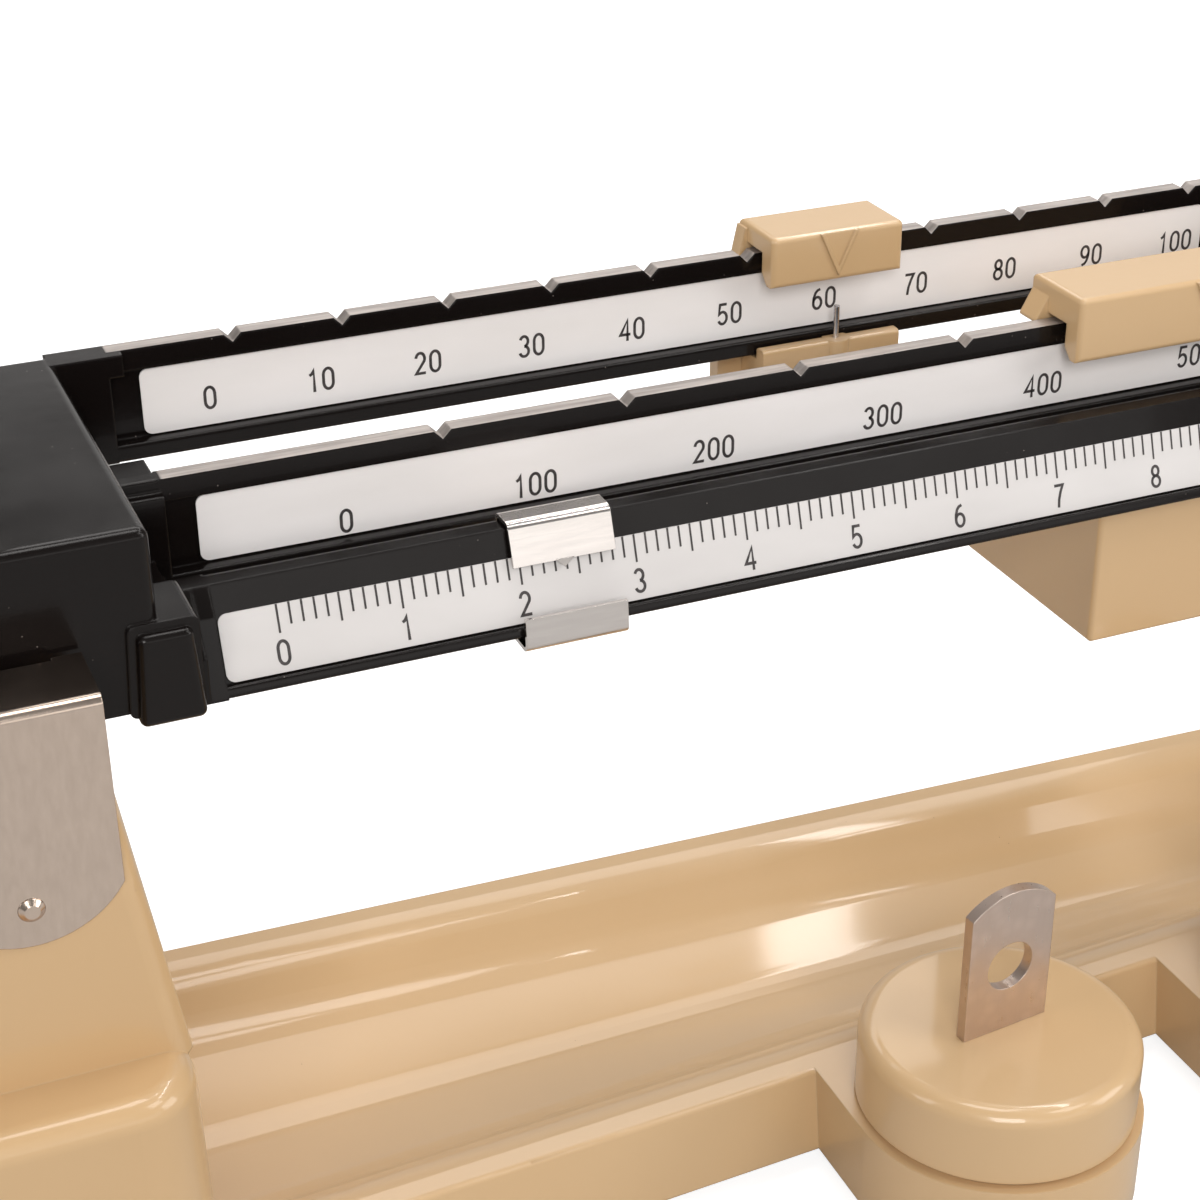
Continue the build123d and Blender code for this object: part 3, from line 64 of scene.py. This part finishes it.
VIEW_AZIMUTH = 22.615
VIEW_DOWN = 27.842
VIEW_ROLL = -0.511
VIEW_PLACE = ZERO + Vector((-0.07665, -0.31404, 0.16881))
VIEW_FOCAL_PX = 2347.5
PHOTO_PX = 1200.0
SENSOR = 36.0


def look(azimuth, elevation, roll, place, focal_px):
    """A camera that looks towards azimuth (from +Y towards +X) and down by elevation."""
    a = math.radians(azimuth)
    e = math.radians(elevation)
    forward = Vector((math.sin(a) * math.cos(e), math.cos(a) * math.cos(e), -math.sin(e)))
    right = Vector((math.cos(a), -math.sin(a), 0))
    up = right.cross(forward)
    r = math.radians(roll)
    right_rolled = right * math.cos(r) + up * math.sin(r)
    up_rolled = up * math.cos(r) - right * math.sin(r)
    data = bpy.data.cameras.new("photo_camera")
    data.sensor_width = SENSOR
    data.lens = focal_px * SENSOR / PHOTO_PX
    data.clip_start = 0.01
    data.clip_end = 20.0
    camera = bpy.data.objects.new("photo_camera", data)
    bpy.context.scene.collection.objects.link(camera)
    columns = (right_rolled, up_rolled, -forward, place)
    camera.matrix_world = Matrix([[c[i] for c in columns] for i in range(3)] + [[0, 0, 0, 1]])
    bpy.context.scene.camera = camera


look(VIEW_AZIMUTH, VIEW_DOWN, VIEW_ROLL, VIEW_PLACE, VIEW_FOCAL_PX)
bpy.context.scene.view_settings.view_transform = "Standard"


# Node helpers

class Graph:
    """A material's nodes, with short calls for the ones used here."""

    SOCKETS = {
        "metallic": "Metallic", "rough": "Roughness", "spec": "Specular IOR Level",
        "coat": "Coat Weight", "coat_rough": "Coat Roughness",
    }

    def __init__(self, name):
        self.material = bpy.data.materials.new(name)
        self.material.use_nodes = True
        self.tree = self.material.node_tree
        self.tree.nodes.clear()
        out = self.tree.nodes.new("ShaderNodeOutputMaterial")
        self.bsdf = self.tree.nodes.new("ShaderNodeBsdfPrincipled")
        self.link(self.bsdf.outputs["BSDF"], out.inputs["Surface"])
        self.coords = self.tree.nodes.new("ShaderNodeTexCoord").outputs["Object"]
        self.last_bump = None

    def link(self, a, b):
        self.tree.links.new(a, b)

    def set(self, **values):
        for key, value in values.items():
            self.bsdf.inputs[self.SOCKETS[key]].default_value = value

    def color(self, source):
        self.link(source, self.bsdf.inputs["Base Color"])

    def roughness(self, source):
        self.link(source, self.bsdf.inputs["Roughness"])

    def stretched(self, scale, offset=(0, 0, 0)):
        node = self.tree.nodes.new("ShaderNodeMapping")
        node.inputs["Scale"].default_value = scale
        node.inputs["Location"].default_value = offset
        self.link(self.coords, node.inputs["Vector"])
        return node.outputs["Vector"]

    def noise(self, scale, detail=3.0, rough=0.5, vector=None):
        node = self.tree.nodes.new("ShaderNodeTexNoise")
        node.inputs["Scale"].default_value = scale
        node.inputs["Detail"].default_value = detail
        node.inputs["Roughness"].default_value = rough
        self.link(vector or self.coords, node.inputs["Vector"])
        return node.outputs["Fac"]

    def cells(self, scale):
        node = self.tree.nodes.new("ShaderNodeTexVoronoi")
        node.inputs["Scale"].default_value = scale
        self.link(self.coords, node.inputs["Vector"])
        return node.outputs["Distance"]

    def ramp(self, value, stops):
        """Colours along a value, by a list of places and colours."""
        node = self.tree.nodes.new("ShaderNodeValToRGB")
        elements = node.color_ramp.elements
        while len(elements) > len(stops):
            elements.remove(elements[-1])
        while len(elements) < len(stops):
            elements.new(1.0)
        for element, (place, color) in zip(elements, stops):
            element.position = place
            element.color = (*color, 1.0)
        self.link(value, node.inputs["Fac"])
        return node.outputs["Color"]

    def span(self, value, low, high, to_low=0.0, to_high=1.0):
        """A value that runs from to_low at low to to_high at high, and stays there outside."""
        node = self.tree.nodes.new("ShaderNodeMapRange")
        node.inputs["From Min"].default_value = low
        node.inputs["From Max"].default_value = high
        node.inputs["To Min"].default_value = to_low
        node.inputs["To Max"].default_value = to_high
        self.link(value, node.inputs["Value"])
        return node.outputs["Result"]

    def math(self, operation, a, b=None):
        node = self.tree.nodes.new("ShaderNodeMath")
        node.operation = operation
        for i, value in enumerate((a, b)):
            if value is None:
                continue
            if isinstance(value, (int, float)):
                node.inputs[i].default_value = value
            else:
                self.link(value, node.inputs[i])
        return node.outputs["Value"]

    def mix(self, fac, a, b):
        node = self.tree.nodes.new("ShaderNodeMix")
        node.data_type = "RGBA"
        self.link(fac, node.inputs["Factor"])
        colour_inputs = [s for s in node.inputs if s.type == "RGBA"]
        for socket, value in zip(colour_inputs, (a, b)):
            if isinstance(value, tuple):
                socket.default_value = (*value, 1.0)
            else:
                self.link(value, socket)
        return [s for s in node.outputs if s.type == "RGBA"][0]

    def bump(self, height, distance, strength):
        """Relief on top of whatever relief the material has by now."""
        node = self.tree.nodes.new("ShaderNodeBump")
        node.inputs["Strength"].default_value = strength
        node.inputs["Distance"].default_value = distance
        self.link(height, node.inputs["Height"])
        if self.last_bump is not None:
            self.link(self.last_bump, node.inputs["Normal"])
        self.facing(node)

    def rounded(self, radius):
        """Edges that catch the light as if they had this radius."""
        node = self.tree.nodes.new("ShaderNodeBevel")
        node.samples = 6
        node.inputs["Radius"].default_value = radius
        self.facing(node)

    def facing(self, node):
        self.last_bump = node.outputs["Normal"]
        self.link(self.last_bump, self.bsdf.inputs["Normal"])

    def xyz(self):
        node = self.tree.nodes.new("ShaderNodeSeparateXYZ")
        self.link(self.coords, node.inputs["Vector"])
        return node.outputs["X"], node.outputs["Y"], node.outputs["Z"]


def srgb(r, g, b):
    """A colour as an image file has it, 0 to 255, as linear values."""
    values = []
    for c in (r, g, b):
        c /= 255.0
        values.append(c / 12.92 if c <= 0.04045 else ((c + 0.055) / 1.055) ** 2.4)
    return tuple(values)


# Materials

def enamel_beige():
    g = Graph("enamel_beige")
    g.rounded(0.5 * MM)
    broad = g.noise(9.0, 2.0)
    tone = g.ramp(broad, [(0.35, srgb(200, 167, 124)), (0.65, srgb(205, 173, 131))])
    speck = g.span(g.cells(420.0), 0.035, 0.06, 1.0, 0.0)
    rare = g.span(g.noise(95.0, 1.0), 0.66, 0.68)
    fac = g.math("MULTIPLY", g.math("MULTIPLY", speck, rare), 0.55)
    g.color(g.mix(fac, tone, srgb(120, 95, 65)))
    g.set(rough=0.36, coat=0.6, coat_rough=0.07, spec=0.4)
    g.bump(g.noise(420.0, 2.0, 0.5), 0.06 * MM, 0.4)
    g.bump(g.noise(1500.0, 1.0), 0.01 * MM, 0.2)
    return g.material


def enamel_black(name):
    """The nodes of glossy black enamel with a little dust in it."""
    g = Graph(name)
    g.rounded(0.6 * MM)
    dust = g.span(g.cells(520.0), 0.04, 0.08, 1.0, 0.0)
    rare = g.span(g.noise(120.0, 1.0), 0.56, 0.62)
    fac = g.math("MULTIPLY", g.math("MULTIPLY", dust, rare), 0.5)
    g.color(g.mix(fac, srgb(18, 14, 13), srgb(140, 132, 126)))
    g.roughness(g.span(g.noise(60.0, 3.0), 0.3, 0.7, 0.17, 0.27))
    g.set(spec=0.2, coat=0.12, coat_rough=0.05)
    g.bump(g.noise(260.0, 2.0, 0.5), 0.08 * MM, 0.35)
    g.bump(g.noise(1300.0, 2.0), 0.015 * MM, 0.3)
    return g


def enamel_beam():
    """Black enamel, ground bare along the notched edges of two tiers."""
    g = enamel_black("enamel_beam")
    black = g.bsdf.inputs["Base Color"].links[0].from_socket
    gloss = g.bsdf.inputs["Roughness"].links[0].from_socket
    x, y, z = g.xyz()
    ragged = g.noise(900.0, 3.0, 0.6)
    past = g.span(x, ZERO.x + BARE_FROM * MM, ZERO.x + (BARE_FROM + 0.4) * MM)
    tops = []
    for first, pitch, top, sides in ((MIDDLE_NOTCH, MIDDLE_PITCH, MIDDLE_TOP, MIDDLE_SIDES),
                                     (REAR_NOTCH, REAR_PITCH, REAR_TOP, REAR_SIDES)):
        cell = g.math("DIVIDE", g.math("SUBTRACT", x, ZERO.x + first * MM), pitch * MM)
        aside = g.math("ABSOLUTE", g.math("SUBTRACT", cell, g.math("ROUND", cell)))
        notch = g.span(aside, (NOTCH_HALF - 0.1) / pitch, (NOTCH_HALF + 0.1) / pitch, NOTCH_DEEP, 0.0)
        reach = g.math("ADD", notch, g.math("MULTIPLY", ragged, 0.3))
        edge = g.math("SUBTRACT", ZERO.z + (top - 0.02) * MM, g.math("MULTIPLY", reach, MM))
        above = g.span(g.math("SUBTRACT", z, edge), -0.04 * MM, 0.04 * MM)
        front = g.span(y, ZERO.y + (sides[0] + 0.05) * MM, ZERO.y + (sides[0] + 0.15) * MM)
        back = g.span(y, ZERO.y + (sides[1] + 0.2) * MM, ZERO.y + (sides[1] + 0.3) * MM, 1.0, 0.0)
        tops.append(g.math("MULTIPLY", above, g.math("MULTIPLY", front, back)))
    bare = g.math("MULTIPLY", g.math("MAXIMUM", tops[0], tops[1]), past)
    chips = g.span(g.noise(700.0, 4.0, 0.65, g.stretched((0.35, 1.0, 1.0))), 0.22, 0.30)
    bare = g.math("MULTIPLY", bare, chips)
    metal = g.ramp(g.noise(300.0, 3.0, 0.6, g.stretched((0.25, 3.0, 1.0))),
                   [(0.3, srgb(152, 145, 141)), (0.7, srgb(192, 184, 179))])
    g.color(g.mix(bare, black, metal))
    g.link(g.math("MULTIPLY", bare, 0.75), g.bsdf.inputs["Metallic"])
    g.roughness(g.math("ADD", g.math("MULTIPLY", bare, 0.25), gloss))
    return g.material


def label(name, low, high):
    """Pale printed sheet, a little cloudy between two tones."""
    g = Graph(name)
    cloudy = g.noise(55.0, 3.0, 0.55, g.stretched((0.5, 1.0, 1.6)))
    g.color(g.ramp(cloudy, [(0.3, low), (0.7, high)]))
    g.set(rough=0.4, coat=0.15, coat_rough=0.15)
    g.bump(g.noise(160.0, 2.0), 0.03 * MM, 0.25)
    return g.material


def printing_ink():
    g = Graph("print_ink")
    worn = g.noise(900.0, 3.0, 0.7)
    g.color(g.ramp(worn, [(0.3, srgb(40, 37, 38)), (0.75, srgb(78, 72, 72))]))
    g.set(rough=0.5)
    return g.material


def steel(name, tint, rough, along, grain=1.0, smudge=0.06, edge=0.22):
    """Metal with a grain: along stretches it, smudge varies the roughness, edge rounds in millimetres."""
    g = Graph(name)
    g.rounded(edge * MM)
    fine = g.noise(900.0, 3.0, 0.6, g.stretched(along))
    broad = g.noise(38.0, 3.0, 0.6, g.stretched((1.0, 1.0, 1.3), (3.1, 0.4, 1.7)))
    dark = tuple(c * 0.9 for c in tint)
    g.color(g.ramp(fine, [(0.3, dark), (0.7, tint)]))
    g.roughness(g.span(broad, 0.3, 0.75, rough, rough + smudge))
    g.set(metallic=1.0)
    g.bump(fine, 0.012 * MM * grain, 0.35)
    g.bump(g.noise(120.0, 2.0), 0.03 * MM, 0.18)
    return g.material


def steel_turned(name, tint, centre, rough):
    """Spun sheet with rings round an upright axis."""
    g = Graph(name)
    x, y, _ = g.xyz()
    dx = g.math("SUBTRACT", x, centre[0])
    dy = g.math("SUBTRACT", y, centre[1])
    radius = g.math("SQRT", g.math("ADD", g.math("MULTIPLY", dx, dx), g.math("MULTIPLY", dy, dy)))
    rings = g.tree.nodes.new("ShaderNodeTexNoise")
    rings.noise_dimensions = "1D"
    rings.inputs["Detail"].default_value = 4.0
    g.link(g.math("MULTIPLY", radius, 900.0), rings.inputs["W"])
    rings.inputs["Scale"].default_value = 2.0
    dark = tuple(c * 0.88 for c in tint)
    g.color(g.ramp(rings.outputs["Fac"], [(0.3, dark), (0.7, tint)]))
    smudges = g.noise(24.0, 3.0, 0.6)
    g.roughness(g.span(smudges, 0.3, 0.75, rough, rough + 0.1))
    g.set(metallic=1.0)
    g.bump(rings.outputs["Fac"], 0.02 * MM, 0.3)
    return g.material


def galvanised():
    g = Graph("galvanised_tab")
    g.rounded(0.25 * MM)
    spangle = g.cells(330.0)
    scratch = g.noise(1400.0, 3.0, 0.7, g.stretched((1.0, 1.0, 0.12)))
    g.color(g.ramp(spangle, [(0.1, srgb(214, 197, 186)), (0.6, srgb(207, 190, 179))]))
    g.roughness(g.span(scratch, 0.3, 0.7, 0.26, 0.42))
    g.set(metallic=0.95)
    g.bump(scratch, 0.02 * MM, 0.4)
    g.bump(spangle, 0.01 * MM, 0.1)
    return g.material


def brass():
    g = Graph("brass")
    g.rounded(0.2 * MM)
    g.color(g.ramp(g.noise(90.0, 3.0, 0.6), [(0.3, srgb(196, 158, 88)), (0.7, srgb(214, 178, 108))]))
    g.roughness(g.span(g.noise(40.0), 0.3, 0.7, 0.22, 0.34))
    g.set(metallic=1.0)
    g.bump(g.noise(800.0, 3.0, 0.6, g.stretched((0.2, 1.0, 1.0))), 0.01 * MM, 0.3)
    return g.material


def soft(name, low, high, rough, scale, depth):
    """Rubber, plastic or magnet: no shine, with a fine moulded texture."""
    g = Graph(name)
    g.rounded(0.3 * MM)
    g.color(g.ramp(g.noise(scale * 0.3, 3.0), [(0.3, low), (0.7, high)]))
    g.set(rough=rough)
    g.bump(g.noise(scale, 3.0, 0.6), depth * MM, 0.4)
    return g.material


pan_low, pan_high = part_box("pan")
pan_centre = (pan_low + pan_high) / 2
BEIGE = enamel_beige()
BEAM = enamel_beam()
BLACK = enamel_black("enamel_black").material
LABEL = label("label_white", srgb(239, 236, 235), srgb(246, 243, 243))
# A darker copy of the white label for the leaning front plate: painted shade that takes back the extra light
# its lean catches from above
SHADED_FRONT_LABEL = label("label_painted_shade", srgb(207, 204, 203), srgb(215, 212, 211))
INK = printing_ink()
COVER = steel("stainless_cover", srgb(222, 204, 189), 0.15, (1.0, 1.0, 0.3), 0.35, 0.12)
BRIGHT = steel("bright_steel", srgb(228, 222, 218), 0.18, (0.1, 1.0, 1.0), 0.15, 0.05, 0.08)
KNIFE = steel("hard_steel", srgb(150, 148, 150), 0.2, (1.0, 0.1, 1.0))
ZINC = steel("zinc_plated", srgb(205, 203, 206), 0.22, (1.0, 1.0, 0.3), 0.7)
ALLOY = steel("rolled_aluminium", srgb(214, 215, 218), 0.3, (0.08, 1.0, 1.0))
PAN = steel_turned("spun_stainless", srgb(205, 200, 196), (pan_centre.x, pan_centre.y), 0.17)
TAB = galvanised()
BRASS = brass()
RUBBER = soft("foot_rubber", srgb(34, 33, 33), srgb(48, 46, 45), 0.72, 700.0, 0.05)
PLASTIC = soft("pad_plastic", srgb(222, 216, 202), srgb(232, 227, 214), 0.5, 500.0, 0.02)
MAGNET = soft("sintered_magnet", srgb(70, 70, 72), srgb(92, 92, 94), 0.55, 900.0, 0.03)

finish_of = {
    "base_casting": BEIGE, "pointer_stand": BEIGE, "poise_500": BEIGE, "poise_100": BEIGE,
    "weight_1": BEIGE, "weight_2": BEIGE, "beam_casting": BEAM, "pan_support": BLACK,
    # The front scale plate gets the darker copy of the label, painted shade for its lean towards the lamps
    "front_scale_plate": SHADED_FRONT_LABEL, "middle_scale_plate": LABEL, "rear_scale_plate": LABEL,
    "index_plate": LABEL,
    "front_bearing_cover": COVER, "rear_bearing_cover": COVER, "check_anchor": COVER, "cover_screws": COVER,
    "rider_10": BRIGHT, "pan": PAN, "pan_collar": PAN, "weight_1_tab": TAB, "weight_2_tab": TAB,
    "front_main_knife": KNIFE, "rear_main_knife": KNIFE, "front_pan_knife": KNIFE, "rear_pan_knife": KNIFE,
    "damper_vane": ALLOY, "check_link": ALLOY, "front_bearing": BRASS, "rear_bearing": BRASS,
    "pan_bearings": BRASS, "zero_core": BRASS, "zero_knob": BRASS, "rubber_feet": RUBBER,
    "pan_seat_pads": PLASTIC, "damper_magnets": MAGNET, "weight_1_plug": MAGNET, "weight_2_plug": MAGNET,
}
for name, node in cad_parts.items():
    node.data.materials.clear()
    node.data.materials.append(finish_of.get(name, ZINC))


# Printed scales

def arc(cx, cy, rx, ry, start, end):
    """Points along part of an oval, by angles in degrees."""
    steps = max(4, int(abs(end - start) / 14))
    turns = [math.radians(start + (end - start) * i / steps) for i in range(steps + 1)]
    return [(cx + rx * math.cos(t), cy + ry * math.sin(t)) for t in turns]


# How far the ink stands off its plate, in millimetres
INK_LIFT = 0.03

# Shares of a figure's height: its width, the step to the next one, how it is narrowed, half a stroke
FIGURE_WIDE = 0.56
FIGURE_STEP = 0.70
FIGURE_NARROWED = 0.92
STROKE_HALF = 0.062

# Each figure's strokes, in a box one high with its foot at zero
SIX = [
    arc(0.28, 0.32, 0.21, 0.265, 0, 360),
    [(0.07, 0.36), (0.09, 0.56), (0.17, 0.78), (0.27, 0.89), (0.42, 0.945)],
]
FIGURES = {
    "0": [arc(0.28, 0.66, 0.22, 0.285, 0, 180) + arc(0.28, 0.34, 0.22, 0.285, 180, 360) + [(0.50, 0.66)]],
    "1": [[(0.13, 0.73), (0.25, 0.80), (0.33, 0.945), (0.33, 0.0)]],
    "2": [arc(0.28, 0.695, 0.205, 0.25, 172, -28) + [(0.07, 0.055), (0.52, 0.055)]],
    "3": [arc(0.27, 0.725, 0.19, 0.22, 160, -88), arc(0.27, 0.28, 0.215, 0.225, 88, -165)],
    "4": [[(0.40, 0.0), (0.40, 0.93), (0.045, 0.29), (0.55, 0.29)]],
    "5": [[(0.48, 0.945), (0.14, 0.945), (0.09, 0.50)] + arc(0.27, 0.33, 0.215, 0.275, 122, -155)],
    "6": SIX,
    "7": [[(0.05, 0.945), (0.50, 0.945), (0.36, 0.66), (0.25, 0.34), (0.20, 0.0)]],
    "8": [arc(0.28, 0.735, 0.175, 0.21, -90, 270), arc(0.28, 0.285, 0.215, 0.235, 90, 450)],
    "9": [[(FIGURE_WIDE - x, 1.0 - y) for x, y in path] for path in SIX],
    "g": [
        arc(0.26, 0.42, 0.20, 0.25, 0, 360),
        [(0.46, 0.70), (0.46, 0.02)] + arc(0.26, 0.0, 0.20, 0.20, -10, -155),
    ],
}


class Print:
    """Ink on one scale plate, placed by millimetres right and up from an origin."""

    def __init__(self, name, origin, up, out):
        self.name = name
        self.origin = origin
        self.right = Vector((1, 0, 0))
        self.up = up
        self.out = out
        self.bm = bmesh.new()

    def at(self, x, y):
        return self.origin + (self.right * x + self.up * y) * MM + self.out * INK_LIFT * MM

    def stroke(self, x, y0, y1, wide):
        h = wide / 2
        corners = [self.at(x - h, y0), self.at(x + h, y0), self.at(x + h, y1), self.at(x - h, y1)]
        self.bm.faces.new([self.bm.verts.new(c) for c in corners])

    def path(self, points, half):
        """A stroke of even width along a path of points."""
        spots = [Vector(p) for p in points]
        closed = (spots[0] - spots[-1]).length < 0.2 * half
        rows = []
        for i, spot in enumerate(spots):
            before = spots[i - 1] if i else spots[-2] if closed else None
            after = spots[i + 1] if i + 1 < len(spots) else spots[1] if closed else None
            ways = [(spot - before).normalized()] if before else []
            ways += [(after - spot).normalized()] if after else []
            along = (ways[0] + ways[-1]).normalized()
            side = Vector((-along.y, along.x))
            reach = half / max(0.5, side.dot(Vector((-ways[0].y, ways[0].x))))
            rows.append([self.bm.verts.new(self.at(*(spot + side * s))) for s in (reach, -reach)])
        for (a, b), (c, d) in zip(rows, rows[1:]):
            self.bm.faces.new((a, b, d, c))

    def figure(self, text, x, y, height):
        """A line of figures centred at x, y."""
        across = height * FIGURE_NARROWED
        left = x - (FIGURE_STEP * (len(text) - 1) + FIGURE_WIDE) * across / 2
        for char in text:
            for points in FIGURES[char]:
                self.path([(left + px * across, y + (py - 0.5) * height) for px, py in points],
                          STROKE_HALF * height)
            left += FIGURE_STEP * across

    def done(self, body):
        """The ink as one piece that rides on a body."""
        mesh = bpy.data.meshes.new(self.name)
        self.bm.to_mesh(mesh)
        self.bm.free()
        mesh.materials.append(INK)
        obj = bpy.data.objects.new(self.name, mesh)
        bpy.context.scene.collection.objects.link(obj)
        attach(obj, body)


def print_front_scale():
    """Tenths from 0 to 10 grams on the leaning plate, with a figure under each gram."""
    gram = 20.0
    tick_wide = 0.36
    tick = 3.5
    long_tick = 4.6
    figures_y = -7.7
    figure_high = 4.1
    plate_thick = 0.3
    up = Vector((0, math.sin(LEAN), math.cos(LEAN)))
    out = Vector((0, -math.cos(LEAN), math.sin(LEAN)))
    ink = Print("front_scale_print", ZERO + out * plate_thick * MM, up, out)
    for tenth in range(101):
        length = long_tick if tenth % 5 == 0 else tick
        ink.stroke(tenth * gram / 10, 0.0, -length, tick_wide)
    for i in range(11):
        ink.figure(str(i), i * gram + 0.1, figures_y, figure_high)
    ink.done("beam")


def print_upright_scale(tier, labels, first_x, step, y, rise, height):
    """Figures in a row on an upright plate, from first_x by step, with a rise along the row."""
    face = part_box(tier + "_scale_plate")[0].y
    ink = Print(tier + "_scale_print", Vector((ZERO.x, face, ZERO.z)), Vector((0, 0, 1)), Vector((0, -1, 0)))
    for i, text in enumerate(labels):
        ink.figure(text, first_x + step * i, y + rise * step * i, height)
    return ink


print_front_scale()
print_upright_scale("middle", [str(i * 100) for i in range(6)], 17.6, 33.0, 2.2, 0.0125, 4.3).done("beam")
rear_ink = print_upright_scale("rear", [str(i * 10) for i in range(11)], 5.0, 19.7, 12.3, 0.0, 4.3)
rear_ink.figure("g", 209.0, 11.8, 3.2)
rear_ink.done("beam")


# Floor, light and the room

def floor():
    """A pale plain, lit up to white around the balance where the camera looks at it."""
    g = Graph("floor_pale")
    path = g.tree.nodes.new("ShaderNodeLightPath")
    g.color(g.ramp(g.noise(3.0, 2.0), [(0.3, (0.49, 0.49, 0.49)), (0.7, (0.51, 0.51, 0.51))]))
    g.set(rough=0.85, spec=0.2)
    g.link(g.math("MULTIPLY", path.outputs["Is Camera Ray"], 0.8), g.bsdf.inputs["Emission Strength"])
    g.bsdf.inputs["Emission Color"].default_value = (1, 1, 1, 1)
    mesh = bpy.data.meshes.new("floor")
    bm = bmesh.new()
    bmesh.ops.create_grid(bm, x_segments=2, y_segments=2, size=6.0)
    bm.to_mesh(mesh)
    bm.free()
    mesh.materials.append(g.material)
    obj = bpy.data.objects.new("floor", mesh)
    bpy.context.scene.collection.objects.link(obj)


def softbox(name, place, aim, size, watts):
    """A soft lamp with a slightly warm light."""
    data = bpy.data.lights.new(name, "AREA")
    data.shape = "RECTANGLE"
    data.size = size[0]
    data.size_y = size[1]
    data.energy = watts
    data.color = (1.0, 0.975, 0.95)
    lamp = bpy.data.objects.new(name, data)
    bpy.context.scene.collection.objects.link(lamp)
    lamp.location = place
    lamp.rotation_euler = (Vector(aim) - Vector(place)).to_track_quat("-Z", "Y").to_euler()


def room():
    """Even dim light from all round, and white where the camera sees past the floor."""
    world = bpy.data.worlds.new("studio")
    bpy.context.scene.world = world
    world.use_nodes = True
    tree = world.node_tree
    tree.nodes.clear()
    out = tree.nodes.new("ShaderNodeOutputWorld")
    path = tree.nodes.new("ShaderNodeLightPath")
    shown = tree.nodes.new("ShaderNodeBackground")
    shown.inputs["Color"].default_value = (1, 1, 1, 1)
    shown.inputs["Strength"].default_value = 1.0
    light = tree.nodes.new("ShaderNodeBackground")
    light.inputs["Color"].default_value = (1.0, 0.98, 0.96, 1)
    light.inputs["Strength"].default_value = 0.18
    mix = tree.nodes.new("ShaderNodeMixShader")
    tree.links.new(path.outputs["Is Camera Ray"], mix.inputs["Fac"])
    tree.links.new(light.outputs["Background"], mix.inputs[1])
    tree.links.new(shown.outputs["Background"], mix.inputs[2])
    tree.links.new(mix.outputs["Shader"], out.inputs["Surface"])


floor()
room()
AIM = (0.02, 0.0, 0.08)
softbox("front", (-0.75, -2.0, 1.25), AIM, (1.0, 1.0), 30.0)
softbox("right", (1.9, -1.1, 0.9), AIM, (1.0, 1.0), 14.0)
softbox("left", (-1.3, 0.1, 0.7), AIM, (0.8, 0.8), 7.0)
softbox("over", (0.6, -0.6, 1.1), AIM, (0.4, 0.4), 2.6)
softbox("top", (0.1, 0.05, 1.45), AIM, (0.4, 0.4), 3.4)
softbox("back_high", (0.3, 0.9, 1.1), AIM, (1.2, 0.6), 6.5)
softbox("back_low", (0.5, 1.4, 0.45), AIM, (1.8, 0.6), 2.2)
softbox("card", (0.45, -1.35, 0.38), AIM, (1.0, 0.4), 1.6)
for name, place, size, watts in (("strip", (0.485, 0.12, 0.93), (0.06, 0.62), 2.0),
                                 ("glint", (0.315, 0.106, 0.98), (0.06, 0.05), 0.2)):
    straight_down = (place[0], place[1], 0.0)
    softbox(name, place, straight_down, size, watts)
